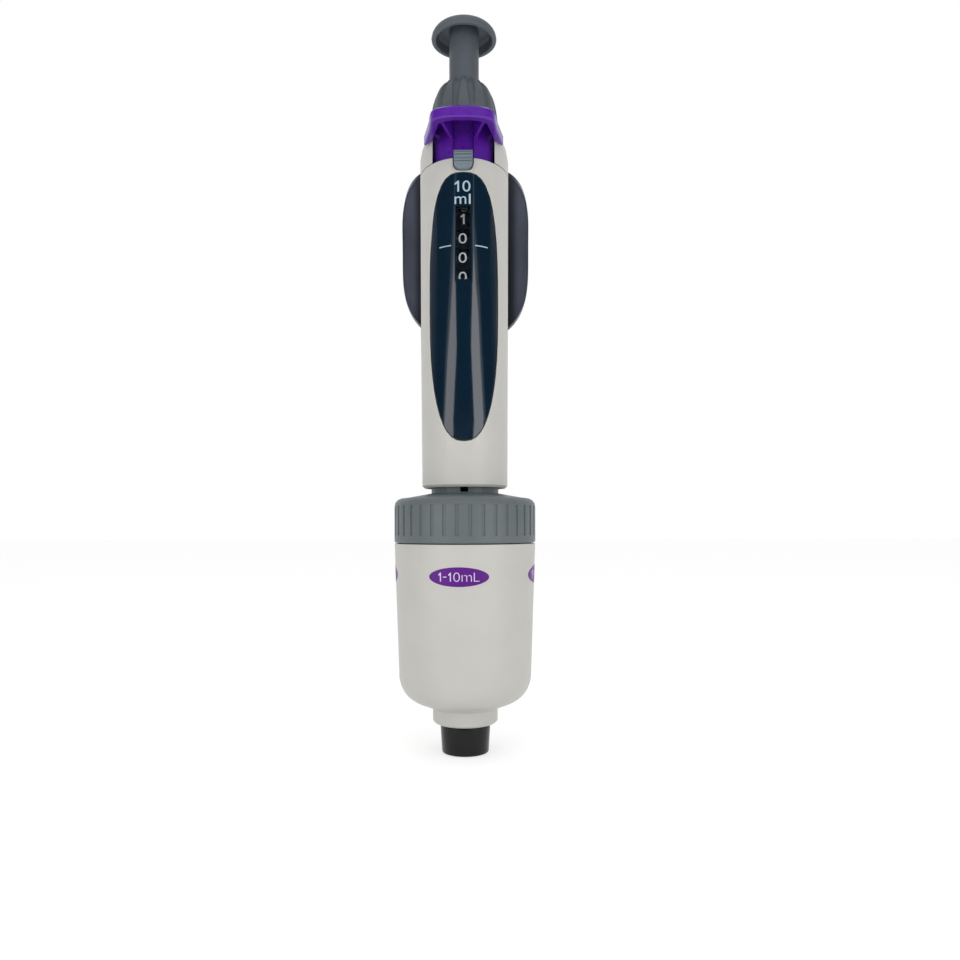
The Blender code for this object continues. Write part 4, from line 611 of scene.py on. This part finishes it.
def bend(start, corner, end, steps=8):
    """Points of a soft bend from start to end, pulled towards the corner, without the last one."""
    points = []
    for step in range(steps):
        t = step / steps
        points.append(
            tuple(
                (1 - t) ** 2 * a + 2 * t * (1 - t) * b + t * t * c
                for a, b, c in zip(start, corner, end)
            )
        )
    return points


def turned(node, outline, edge=0.2, hollow=True, steps=160):
    """A round piece as from a lathe, by (radius, height) points. A hollow one is a closed loop."""
    radius, height = outline[0]
    deselect_everything()
    bpy.ops.mesh.primitive_circle_add(
        vertices=steps,
        radius=radius * MM,
        fill_type="NOTHING" if hollow else "NGON",
        location=(0, 0, height * MM),
    )
    piece = bpy.context.object
    piece.name = f"{node}_turning"
    piece.data.name = piece.name
    bpy.ops.object.transform_apply(location=True, rotation=True, scale=True)
    bpy.ops.object.mode_set(mode="EDIT")
    bpy.ops.mesh.select_all(action="SELECT")
    for next_radius, next_height in outline[1:]:
        rise = (next_height - height) * MM
        bpy.ops.mesh.extrude_region_move(TRANSFORM_OT_translate={"value": (0, 0, rise)})
        growth = next_radius / radius
        bpy.ops.transform.resize(
            value=(growth, growth, 1), center_override=(0, 0, next_height * MM)
        )
        radius, height = next_radius, next_height
    if hollow:
        bpy.ops.mesh.select_all(action="DESELECT")
        bpy.ops.mesh.select_non_manifold()
        bpy.ops.mesh.bridge_edge_loops()
    bpy.ops.mesh.select_all(action="SELECT")
    bpy.ops.mesh.normals_make_consistent(inside=False)
    bpy.ops.object.mode_set(mode="OBJECT")
    rounding = piece.modifiers.new("edge_rounding", "BEVEL")
    rounding.width = edge * MM
    rounding.segments = 3
    rounding.limit_method = "ANGLE"
    rounding.angle_limit = math.radians(25)
    bpy.ops.object.modifier_apply(modifier="edge_rounding")
    bpy.ops.object.shade_smooth_by_angle(angle=math.radians(35))
    place_on(piece, node)
    return piece


SEAT_R = 7.6
AIR_BORE_R = 2.2
CHAMBER_R = 15.05
CHAMBER_OUTER_R = 17.05

dressed["barrel"] = turned(
    "barrel",
    [
        (SEAT_R, 9.5),
        (9.6, 9.5),
        (NECK_R, 10.2),
        (NECK_R, 14.3),
        *bend((14.5, 16.0), (20.2, 18.0), (21.0, 24.1), 10),
        (21.0, 24.1),
        (BARREL_TOP_R, 66.5),
        (20.6, 66.5),
        (19.2, 24.1),
        (17.4, 20.05),
        (CHAMBER_OUTER_R, 20.05),
        (CHAMBER_OUTER_R, 64.4),
        (CHAMBER_R, 64.4),
        (CHAMBER_R, 19.9),
        (AIR_BORE_R, 19.9),
        (AIR_BORE_R, 17.3),
        (SEAT_R, 17.3),
    ],
    0.2,
)
dressed["nose_cone"] = turned(
    "nose_cone",
    [
        (5.2, 0.0),
        (7.0, 0.0),
        (7.4, 0.15),
        (7.52, 0.6),
        (7.98, 8.8),
        (7.9, 9.1),
        (7.7, 9.2),
        (6.6, 9.2),
        (6.6, 11.2),
        (5.9, 11.2),
        (5.9, 12.9),
        (6.6, 12.9),
        (6.6, 17.0),
        (AIR_BORE_R, 17.0),
        (AIR_BORE_R, 5.8),
        (5.2, 5.8),
    ],
    0.12,
)
dressed["push_button"] = turned(
    "push_button",
    [
        (5.4, 231.4),
        *bend((6.6, 231.3), (9.8, 230.4), (10.4, 227.8), 7),
        (10.4, 227.5),
        (10.3, 227.0),
        (10.0, 226.8),
        (9.2, 226.8),
        (8.95, 227.1),
        (8.6, 229.4),
        (7.8, 230.2),
        (5.0, 230.2),
    ],
    0.12,
    hollow=False,
)


SLIDER_BOTTOM_Z = 178.6
SLIDER_ROUND_Z = 180.88
SLIDER_SLOT_HALF = 3.15
SLIDER_RIDGES = ((179.45, 1.9), (180.45, 2.45), (181.45, 2.6), (182.45, 2.6), (183.45, 2.6))
RIDGE_R = 0.3
CORNER_DEPTH = 1.5
SLIDER_FRONT_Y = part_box("lock_slider")[0][1] / MM


def slider_ridges():
    """Five soft bars across the thumb pad. The lowest ones follow its rounded end."""
    bars = []
    for number, (height, reach) in enumerate(SLIDER_RIDGES):
        deselect_everything()
        bpy.ops.mesh.primitive_cylinder_add(
            vertices=16,
            radius=RIDGE_R * MM,
            depth=2 * reach * MM,
            rotation=(0, math.radians(90), 0),
        )
        bar = bpy.context.object
        bar.name = f"slider_ridge_{number}"
        bpy.ops.object.transform_apply(location=True, rotation=True, scale=True)
        bar.scale = (1, 0.9, 1)
        rounding = bar.modifiers.new("end_rounding", "BEVEL")
        rounding.width = 0.14 * MM
        rounding.segments = 3
        bpy.ops.object.modifier_apply(modifier="end_rounding")
        bar.location = (0, SLIDER_FRONT_Y * MM, height * MM)
        bpy.ops.object.transform_apply(location=True, rotation=True, scale=True)
        bpy.ops.object.shade_smooth_by_angle(angle=math.radians(40))
        bars.append(bar)
    ridges = join_all(bars, "slider_ridges")
    paint(ridges, finishes["slider_grey"], "lock")


def slot_corners():
    """White corners that close the slot round the rounded end of the thumb pad."""
    surface = SLIDER_FRONT_Y + 0.9
    corners = []
    for side in (-1, 1):
        half = SLIDER_SLOT_HALF * side
        edge = bend(
            (0.4 * side, SLIDER_BOTTOM_Z - 0.28),
            (half * 0.985, SLIDER_BOTTOM_Z - 0.2),
            (half * 0.985, SLIDER_ROUND_Z),
            10,
        )
        outline = [(half, SLIDER_ROUND_Z), (half, SLIDER_BOTTOM_Z - 0.32), *edge]
        flat = bpy.data.meshes.new("slot_corner")
        depth = surface + 0.32
        points = [(x * MM, depth * MM, z * MM) for x, z in outline]
        flat.from_pydata(points, [], [tuple(range(len(outline)))])
        corner = bpy.data.objects.new("slot_corner", flat)
        bpy.context.scene.collection.objects.link(corner)
        hold(corner)
        bpy.ops.object.mode_set(mode="EDIT")
        bpy.ops.mesh.select_all(action="SELECT")
        bpy.ops.mesh.duplicate()
        bpy.ops.mesh.flip_normals()
        bpy.ops.mesh.extrude_region_move(
            TRANSFORM_OT_translate={"value": (0, CORNER_DEPTH * MM, 0)}
        )
        bpy.ops.mesh.select_all(action="SELECT")
        bpy.ops.mesh.remove_doubles(threshold=0.001 * MM)
        bpy.ops.mesh.normals_make_consistent(inside=False)
        bpy.ops.object.mode_set(mode="OBJECT")
        corners.append(corner)
    pair = join_all(corners, "slot_corners")
    paint(pair, finishes["body_white"], "handle")


KNOB_BOTTOM_Z = 198.6
KNOB_RISE = 14.6
KNOB_FLUTES = 12
KNOB_HUB_R = 6.5
KNOB_HUB_TOP_Z = 206.9
KNOB_BORE_R = 4.92
FLUTE_DEPTH = 1.05


def flute_depth(angle, height):
    """How deep the knob is fluted there. The lands between the flutes narrow towards the top."""
    pitch = 360 / KNOB_FLUTES
    off_land = abs((math.degrees(angle) - pitch / 2) % pitch - pitch / 2)
    up = (height - KNOB_BOTTOM_Z) / KNOB_RISE
    half_land = 10.5 - 7 * max(0, up) ** 1.3
    across = min(1, max(0, (off_land - half_land) / 2.6))
    fade = min(1, max(0, (up - 0.05) / 0.3)) * min(1, max(0, (1.06 - up) / 0.12))
    return FLUTE_DEPTH * across * across * (3 - 2 * across) * fade


def press_flutes(piece):
    """Moves the outer wall of the knob inwards where its flutes run."""
    for vertex in piece.data.vertices:
        x, y, z = vertex.co / MM
        radius = math.hypot(x, y)
        if radius < (KNOB_HUB_R if z < KNOB_HUB_TOP_Z + 0.2 else KNOB_BORE_R) + 0.4:
            continue
        growth = 1 - flute_depth(math.atan2(y, x), z) / radius
        vertex.co.x *= growth
        vertex.co.y *= growth


knob = turned(
    "adjusting_knob",
    [
        (10.75, KNOB_BOTTOM_Z),
        *bend((10.8, 199.77), (10.04, 210.28), (6.2, 212.32), 14),
        (6.2, 212.32),
        (5.6, 213.2),
        (KNOB_BORE_R, 213.2),
        (KNOB_BORE_R, KNOB_HUB_TOP_Z),
        (KNOB_HUB_R, KNOB_HUB_TOP_Z),
        (KNOB_HUB_R, KNOB_BOTTOM_Z),
    ],
    0.1,
    steps=288,
)
press_flutes(knob)
dressed["adjusting_knob"] = knob


# Finger rest

REST_HALF_WIDTH = 21.6
REST_DEPTH = 34.35
REST_BOTTOM_Z = 137.6
REST_TOP_Z = 194.8
REST_TOP_Y = 16.0
REST_POWER = 4.4
REST_SAG = 13.0
REST_THICKNESS = 3.4
REST_FOOT_SHARE = 0.4
REST_BACK_AT = 0.45
REST_END = 0.997
REST_SIDE_THINNING = 0.45
REST_END_THINNING = 0.4
REST_TOP_FLATTENING = 0.6
REST_ROWS = 56
REST_COLUMNS = 28
BRIDGE_MIDDLE_Y = 20.15
BRIDGE_MIDDLE_Z = 187
BRIDGE_SIZE = (16, 9.7, 7.2)
FACING_HANDLE = -0.05


def rest_path(share):
    """The hook's back as seen from the side, from its foot (0) to its top edge (1), as (y, z)."""
    back_z = REST_BOTTOM_Z + (REST_TOP_Z - REST_BOTTOM_Z) * REST_BACK_AT
    if share < REST_FOOT_SHARE:
        start, corner = (REST_DEPTH - 4.5, REST_BOTTOM_Z), (REST_DEPTH - 0.5, REST_BOTTOM_Z + 12)
        end, t = (REST_DEPTH, back_z), share / REST_FOOT_SHARE
    else:
        start, corner = (REST_DEPTH, back_z), (REST_DEPTH, REST_TOP_Z - 5)
        end, t = (REST_TOP_Y, REST_TOP_Z), (share - REST_FOOT_SHARE) / (1 - REST_FOOT_SHARE)
    return tuple(
        (1 - t) ** 2 * a + 2 * t * (1 - t) * b + t * t * c for a, b, c in zip(start, corner, end)
    )


def rest_section(along):
    """One closed section of the hook, square to its path: the outer arc, then the inner one."""
    share = (along + 1) / 2
    y, z = rest_path(share)
    before, after = rest_path(share - 0.01), rest_path(share + 0.01)
    ahead = Vector((after[0] - before[0], after[1] - before[1])).normalized()
    width = REST_HALF_WIDTH * (1 - abs(along) ** REST_POWER) ** (1 / REST_POWER)
    rise = min(max((along - 0.1) / 0.9, 0), 1)
    flatter = 1 - REST_TOP_FLATTENING * rise * rise * (3 - 2 * rise)
    sag = REST_SAG * (width / REST_HALF_WIDTH) ** 2 * flatter
    outer, inner = [], []
    for i in range(REST_COLUMNS + 1):
        angle = (2 * i / REST_COLUMNS - 1) * math.pi / 2
        drop = sag * (1 - math.cos(angle))
        thick = REST_THICKNESS * (1 - REST_SIDE_THINNING * abs(math.sin(angle)) ** 6)
        thick *= 1 - REST_END_THINNING * abs(along) ** 8
        for points, depth in ((outer, drop), (inner, drop + thick)):
            across = width * math.sin(angle)
            points.append((across * MM, (y - ahead.y * depth) * MM, (z + ahead.x * depth) * MM))
    return outer + inner[::-1]


def finger_hook():
    """The broad hook behind the handle, with the bridge that fastens it to the head."""
    sections = [
        rest_section(-REST_END * math.cos(math.pi * row / REST_ROWS))
        for row in range(REST_ROWS + 1)
    ]
    ring = len(sections[0])
    faces = [tuple(range(ring))[::-1], tuple(range(REST_ROWS * ring, (REST_ROWS + 1) * ring))]
    for row in range(REST_ROWS):
        for i in range(ring):
            j = (i + 1) % ring
            here, above = row * ring, (row + 1) * ring
            faces.append((here + i, here + j, above + j, above + i))
    hook_mesh = bpy.data.meshes.new("finger_rest_moulding")
    hook_mesh.from_pydata([point for section in sections for point in section], [], faces)
    hook = bpy.data.objects.new("finger_rest_moulding", hook_mesh)
    bpy.context.scene.collection.objects.link(hook)
    hold(hook)
    bpy.ops.object.mode_set(mode="EDIT")
    bpy.ops.mesh.select_all(action="SELECT")
    bpy.ops.mesh.normals_make_consistent(inside=False)
    bpy.ops.object.mode_set(mode="OBJECT")
    rounding = hook.modifiers.new("edge_rounding", "BEVEL")
    rounding.width = 0.45 * MM
    rounding.segments = 3
    rounding.limit_method = "ANGLE"
    rounding.angle_limit = math.radians(42)
    bpy.ops.object.modifier_apply(modifier="edge_rounding")
    deselect_everything()
    bpy.ops.mesh.primitive_cube_add(
        size=MM, location=(0, BRIDGE_MIDDLE_Y * MM, BRIDGE_MIDDLE_Z * MM)
    )
    bridge = bpy.context.object
    bridge.scale = BRIDGE_SIZE
    bpy.ops.object.transform_apply(location=True, rotation=True, scale=True)
    corners = bridge.modifiers.new("edge_rounding", "BEVEL")
    corners.width = 0.6 * MM
    corners.segments = 3
    bpy.ops.object.modifier_apply(modifier="edge_rounding")
    hold(hook)
    weld = hook.modifiers.new("bridge", "BOOLEAN")
    weld.operation = "UNION"
    weld.solver = "EXACT"
    weld.object = bridge
    bpy.ops.object.modifier_apply(modifier="bridge")
    bpy.data.objects.remove(bridge)
    bpy.ops.object.shade_smooth_by_angle(angle=math.radians(40))
    place_on(hook, "finger_rest")
    # Faces that look towards the handle get the hollow side's painted shade
    hook.data.materials.append(rest_painted_shade)
    for face in hook.data.polygons:
        if face.normal.y < FACING_HANDLE:
            face.material_index = 1
    return hook


dressed["finger_rest"] = finger_hook()


# Numerals, marks and labels


FLAGGED_ONE = ((0.6, 0), (1, 0), (1, 1), (0.68, 1), (0, 0.78), (0, 0.62), (0.6, 0.76))
DIGIT_HEIGHT = 3.2
DIGIT_WIDTH = 2.6
ONE_WIDTH = 1.25
DIGIT_TURN = -3.5
DIGIT_PITCH = 36
BEFORE_WHEEL_Y = -12
BEFORE_CASE_Y = -40


def glyph(name, words, slim):
    """Flat lettering from the built-in typeface, whose one is a bare bar, so that is drawn here."""
    if words == "1":
        outline = bpy.data.meshes.new(name)
        corners = [(x, y, 0) for x, y in FLAGGED_ONE]
        outline.from_pydata(corners, [], [tuple(range(len(corners)))])
        piece = bpy.data.objects.new(name, outline)
        bpy.context.scene.collection.objects.link(piece)
        hold(piece)
        return piece
    deselect_everything()
    bpy.ops.object.text_add()
    piece = bpy.context.object
    piece.name = name
    piece.data.body = words
    piece.data.resolution_u = 6
    piece.data.offset = -slim
    bpy.ops.object.convert(target="MESH")
    return piece


def lettering(name, words, width, height, slim=0):
    """One glyph standing upright and facing the front, centred on the origin, in millimetres."""
    piece = glyph(name, words, slim)
    corners = [vertex.co for vertex in piece.data.vertices]
    low = Vector([min(c[i] for c in corners) for i in range(3)])
    high = Vector([max(c[i] for c in corners) for i in range(3)])
    piece.data.transform(Matrix.Translation(-(low + high) / 2))
    size = high - low
    piece.scale = (width * MM / size.x, height * MM / size.y, 1)
    piece.rotation_euler = (math.radians(90), 0, 0)
    bpy.ops.object.transform_apply(location=True, rotation=True, scale=True)
    return piece


def cut_strips(piece, step=0.5, direction=(1, 0, 0)):
    """Cuts a flat piece into narrow upright strips, so that it can follow a curve."""
    axis = Vector(direction)
    reach = [vertex.co.dot(axis) / MM for vertex in piece.data.vertices]
    hold(piece)
    bpy.ops.object.mode_set(mode="EDIT")
    across = math.ceil(min(reach) / step) * step + 0.013
    while across < max(reach):
        bpy.ops.mesh.select_all(action="SELECT")
        bpy.ops.mesh.bisect(plane_co=axis * across * MM, plane_no=direction)
        across += step
    bpy.ops.mesh.select_all(action="SELECT")
    bpy.ops.mesh.remove_doubles(threshold=0.0005 * MM)
    bpy.ops.object.mode_set(mode="OBJECT")


def lay_on(piece, target, lift=0.03, thickness=0.03):
    """Presses a flat piece backwards onto a surface and gives it the thickness of an ink layer."""
    hold(piece)
    press = piece.modifiers.new("press", "SHRINKWRAP")
    press.target = target
    press.wrap_method = "PROJECT"
    press.use_project_y = True
    press.use_positive_direction = True
    press.use_negative_direction = False
    press.offset = lift * MM
    bpy.ops.object.modifier_apply(modifier="press")
    ink = piece.modifiers.new("ink", "SOLIDIFY")
    ink.thickness = thickness * MM
    ink.offset = 1
    bpy.ops.object.modifier_apply(modifier="ink")
    bpy.ops.object.shade_smooth_by_angle(angle=math.radians(30))


def shift(piece, x=0, y=0, z=0):
    """Moves a piece's mesh and leaves its origin where it is."""
    hold(piece)
    piece.location = (x * MM, y * MM, z * MM)
    bpy.ops.object.transform_apply(location=True, rotation=True, scale=True)


def line_of_print(name, glyphs, slim=0):
    """A line set glyph by glyph: each has its text, its left and right edge, its foot and head."""
    pieces = []
    for number, (words, left, right, foot, head) in enumerate(glyphs):
        piece = lettering(f"{name}_{number}", words, right - left, head - foot, slim)
        shift(piece, (left + right) / 2, 0, (foot + head) / 2)
        pieces.append(piece)
    return join_all(pieces, name)


def paint(piece, look, body):
    """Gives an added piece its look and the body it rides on."""
    piece.data.materials.clear()
    piece.data.materials.append(look)
    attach(piece, body)


def helper_cylinder(radius, bottom, top):
    """A fine cylinder that prints are pressed onto and that goes again."""
    deselect_everything()
    bpy.ops.mesh.primitive_cylinder_add(
        vertices=256,
        radius=radius * MM,
        depth=(top - bottom) * MM,
        location=(0, 0, (top + bottom) / 2 * MM),
    )
    return bpy.context.object


def join_all(pieces, name):
    """Joins pieces into one object of this name."""
    deselect_everything()
    for piece in pieces:
        piece.select_set(True)
    bpy.context.view_layer.objects.active = pieces[0]
    bpy.ops.object.join()
    joined = bpy.context.object
    joined.name = name
    joined.data.name = name
    return joined


def curved_digits():
    """The ten digits, each pressed onto the front of a number wheel at height zero."""
    roller = helper_cylinder(WHEEL_R, -4, 4)
    digits = {}
    for value in range(10):
        width = ONE_WIDTH if value == 1 else DIGIT_WIDTH
        digit = lettering(f"digit_{value}", str(value), width, DIGIT_HEIGHT)
        cut_strips(digit, 0.4)
        shift(digit, y=BEFORE_WHEEL_Y)
        lay_on(digit, roller, 0.01, 0.02)
        digits[value] = digit
    bpy.data.objects.remove(roller)
    return digits


def number_ring(index, body, shown, digits, values):
    """Ten numerals round a wheel. The next lower one stands to the right of the one that shows."""
    copies = []
    for step in range(10):
        value = values(shown, step)
        copy = digits[value].copy()
        copy.data = digits[value].data.copy()
        bpy.context.scene.collection.objects.link(copy)
        turn = Matrix.Rotation(math.radians(DIGIT_PITCH * step + DIGIT_TURN), 4, "Z")
        up = Matrix.Translation((0, 0, WHEEL_MIDDLES[index] * MM))
        copy.data.transform(up @ turn)
        copies.append(copy)
    ring = join_all(copies, f"wheel_{index}_numerals")
    paint(ring, numeral_white, body)


digits = curved_digits()
for index, shown in ((1, 1), (2, 0), (3, 0)):
    number_ring(index, f"wheel_{index}", shown, digits, lambda first, step: (first - step) % 10)
number_ring(4, "knob", 0, digits, lambda first, step: 5 * (step % 2))
for digit in digits.values():
    bpy.data.objects.remove(digit)

LENS_PRINTS = (
    ("volume_print", [("1", -2.6, -1.25, 172.1, 175.4), ("0", -0.25, 2.15, 172.1, 175.4)]),
    ("unit_print", [("m", -2.6, 0.9, 168.45, 170.7), ("l", 1.65, 2.2, 168.45, 171.5)]),
)

lens = dressed["display_panel"]
for name, glyphs in LENS_PRINTS:
    line = line_of_print(name, glyphs)
    cut_strips(line, 0.6)
    shift(line, 0, BEFORE_CASE_Y, 0)
    lay_on(line, lens)
    paint(line, lens_print, "handle")


MARK_Z = 156.1
MARK_THICKNESS = 0.32


def window_mark(name, inner, outer, fall):
    """A slim stroke beside the window that points at the gap between two numerals."""
    middle = (inner + outer) / 2
    deselect_everything()
    bpy.ops.mesh.primitive_plane_add(size=MM, rotation=(math.radians(90), 0, 0))
    stroke = bpy.context.object
    stroke.name = name
    bpy.ops.object.transform_apply(location=True, rotation=True, scale=True)
    stroke.scale = (abs(outer - inner), 1, MARK_THICKNESS)
    stroke.rotation_euler = (0, math.atan2(fall, outer - inner), 0)
    bpy.ops.object.transform_apply(location=True, rotation=True, scale=True)
    cut_strips(stroke, 0.6)
    shift(stroke, middle, BEFORE_CASE_Y, MARK_Z)
    lay_on(stroke, lens)
    paint(stroke, lens_print, "handle")


window_mark("window_mark_left", -3.7, -7.3, 0.12)
window_mark("window_mark_right", 3.5, 7.3, 0.1)


RANGE_GLYPHS = (
    ("1", -6.0, -5.25, -1.3, 1.3),
    ("-", -4.6, -3.6, -0.13, 0.13),
    ("1", -3.0, -2.25, -1.3, 1.3),
    ("0", -1.5, 0.4, -1.35, 1.35),
    ("m", 0.95, 3.9, -1.3, 0.6),
    ("L", 4.5, 6.1, -1.3, 1.3),
)


def range_label(index, angle):
    """One oval with the volume range, printed on the barrel."""
    wall = dressed["barrel"]
    deselect_everything()
    bpy.ops.mesh.primitive_circle_add(
        vertices=72, radius=MM, fill_type="NGON", rotation=(math.radians(90), 0, 0)
    )
    oval = bpy.context.object
    oval.name = f"range_label_{index}"
    bpy.ops.object.transform_apply(location=True, rotation=True, scale=True)
    oval.scale = (LABEL_HALF_WIDTH, 1, LABEL_HALF_HEIGHT)
    bpy.ops.object.transform_apply(location=True, rotation=True, scale=True)
    cut_strips(oval, 0.7)
    shift(oval, 0, BEFORE_CASE_Y, LABEL_Z)
    lay_on(oval, wall, 0.02, 0.03)
    words = line_of_print(f"range_words_{index}", RANGE_GLYPHS, 0.02)
    cut_strips(words, 0.7)
    shift(words, 0, BEFORE_CASE_Y, LABEL_Z)
    lay_on(words, oval, 0.01, 0.03)
    turn = Matrix.Rotation(math.radians(angle), 4, "Z")
    for piece in (oval, words):
        piece.data.transform(turn)
    paint(oval, label_purple, "handle")
    paint(words, label_lilac, "handle")


for index, angle in enumerate(LABEL_TURNS, start=1):
    range_label(index, angle)

slider_ridges()
slot_corners()


# Camera, floor and light


FLOOR_GLOW = 1.32
ROOM_LIGHT = 0.68
ROOM_GLOSS_IN_FRONT = 0.05
ROOM_GLOSS_BEHIND = 1.0


def studio_floor():
    """A white ground that stays white to the eye and takes the soft shadow of the pipette."""
    deselect_everything()
    bpy.ops.mesh.primitive_plane_add(size=8)
    floor = bpy.context.object
    floor.name = "studio_floor"
    floor.location = (0, 0, -0.0002)
    bpy.ops.object.transform_apply(location=True, rotation=True, scale=True)
    made, tree, shader = finish_base("studio_floor")
    shader.inputs["Base Color"].default_value = (0.95, 0.95, 0.95, 1)
    shader.inputs["Roughness"].default_value = 1.0
    shader.inputs["Specular IOR Level"].default_value = 0.0
    glow = tree.nodes.new("ShaderNodeEmission")
    glow.inputs["Color"].default_value = (1, 1, 1, 1)
    glow.inputs["Strength"].default_value = FLOOR_GLOW
    rays = tree.nodes.new("ShaderNodeLightPath")
    seen = math_node(tree, "ADD", rays.outputs["Is Camera Ray"], rays.outputs["Is Glossy Ray"])
    seen = math_node(tree, "ADD", seen, rays.outputs["Is Transmission Ray"])
    share = math_node(tree, "MULTIPLY", seen, 0.5)
    mix = tree.nodes.new("ShaderNodeMixShader")
    end = tree.nodes["Material Output"]
    tree.links.new(share, mix.inputs["Fac"])
    tree.links.new(shader.outputs["BSDF"], mix.inputs[1])
    tree.links.new(glow.outputs["Emission"], mix.inputs[2])
    tree.links.new(mix.outputs["Shader"], end.inputs["Surface"])
    floor.data.materials.append(made)


def studio_world():
    """White to the eye and through glass, and a paler white room for light and for gloss."""
    world = bpy.data.worlds.new("studio")
    world.use_nodes = True
    bpy.context.scene.world = world
    tree = world.node_tree
    tree.nodes.clear()
    rays = tree.nodes.new("ShaderNodeLightPath")
    seen = math_node(
        tree, "ADD", rays.outputs["Is Camera Ray"], rays.outputs["Is Transmission Ray"]
    )
    plain = tree.nodes.new("ShaderNodeBackground")
    plain.inputs["Color"].default_value = (1, 1, 1, 1)
    plain.inputs["Strength"].default_value = 1.0
    where = tree.nodes.new("ShaderNodeTexCoord")
    split = tree.nodes.new("ShaderNodeSeparateXYZ")
    tree.links.new(where.outputs["Generated"], split.inputs["Vector"])
    behind = spread(
        tree, split.outputs["Y"], ROOM_GLOSS_IN_FRONT, ROOM_GLOSS_BEHIND, start=-0.2, end=0.85
    )
    gloss = tree.nodes.new("ShaderNodeBackground")
    gloss.inputs["Color"].default_value = (1, 1, 1, 1)
    tree.links.new(behind, gloss.inputs["Strength"])
    soft = tree.nodes.new("ShaderNodeBackground")
    soft.inputs["Color"].default_value = (1, 1, 1, 1)
    soft.inputs["Strength"].default_value = ROOM_LIGHT
    room = tree.nodes.new("ShaderNodeMixShader")
    tree.links.new(rays.outputs["Is Glossy Ray"], room.inputs["Fac"])
    tree.links.new(soft.outputs["Background"], room.inputs[1])
    tree.links.new(gloss.outputs["Background"], room.inputs[2])
    whole = tree.nodes.new("ShaderNodeMixShader")
    tree.links.new(seen, whole.inputs["Fac"])
    tree.links.new(room.outputs["Shader"], whole.inputs[1])
    tree.links.new(plain.outputs["Background"], whole.inputs[2])
    end = tree.nodes.new("ShaderNodeOutputWorld")
    tree.links.new(whole.outputs["Shader"], end.inputs["Surface"])


def soft_box(name, place, size, power, aim=(0, 0, 110)):
    """A lamp with a wide white face, at a place, that looks at another."""
    lamp = bpy.data.lights.new(name, "AREA")
    lamp.shape = "RECTANGLE"
    lamp.size = size[0] * MM
    lamp.size_y = size[1] * MM
    lamp.energy = power
    stand = bpy.data.objects.new(name, lamp)
    stand.location = Vector(place) * MM
    towards = Vector(aim) * MM - stand.location
    stand.rotation_euler = towards.to_track_quat("-Z", "Z").to_euler()
    bpy.context.scene.collection.objects.link(stand)


def studio_camera():
    """The camera that sees the part as the photo does."""
    camera = bpy.data.cameras.new("photo_camera")
    camera.sensor_width = SENSOR
    camera.lens = FOCAL_PIXELS / IMAGE * SENSOR
    camera.shift_y = (EYE_ROW - IMAGE / 2) / IMAGE
    camera.clip_start = 0.01
    stand = bpy.data.objects.new("photo_camera", camera)
    stand.location = Vector(EYE) * MM
    stand.rotation_euler = (math.radians(90), math.radians(LEAN), 0)
    bpy.context.scene.collection.objects.link(stand)
    bpy.context.scene.camera = stand


studio_floor()
studio_world()
BOX_ACROSS = 415
BOX_Y = -460
BOX_WIDTH = 540
SIDE_BOXES = (("box", 100, 200, 0.76), ("middle_box", 225, 50, 0.09), ("upper_box", 275, 50, 0.04))
for side, x, share in (("left", -BOX_ACROSS, 1), ("right", BOX_ACROSS, 1.15)):
    for kind, z, tall, power in SIDE_BOXES:
        soft_box(f"{side}_{kind}", (x, BOX_Y, z), (BOX_WIDTH, tall), power * share, (0, 0, z))
soft_box("front_fill", (60, -620, 760), (500, 300), 0.6)
soft_box("top_box", (0, -80, 760), (600, 500), 0.5)
studio_camera()
bpy.context.scene.view_settings.view_transform = "Standard"
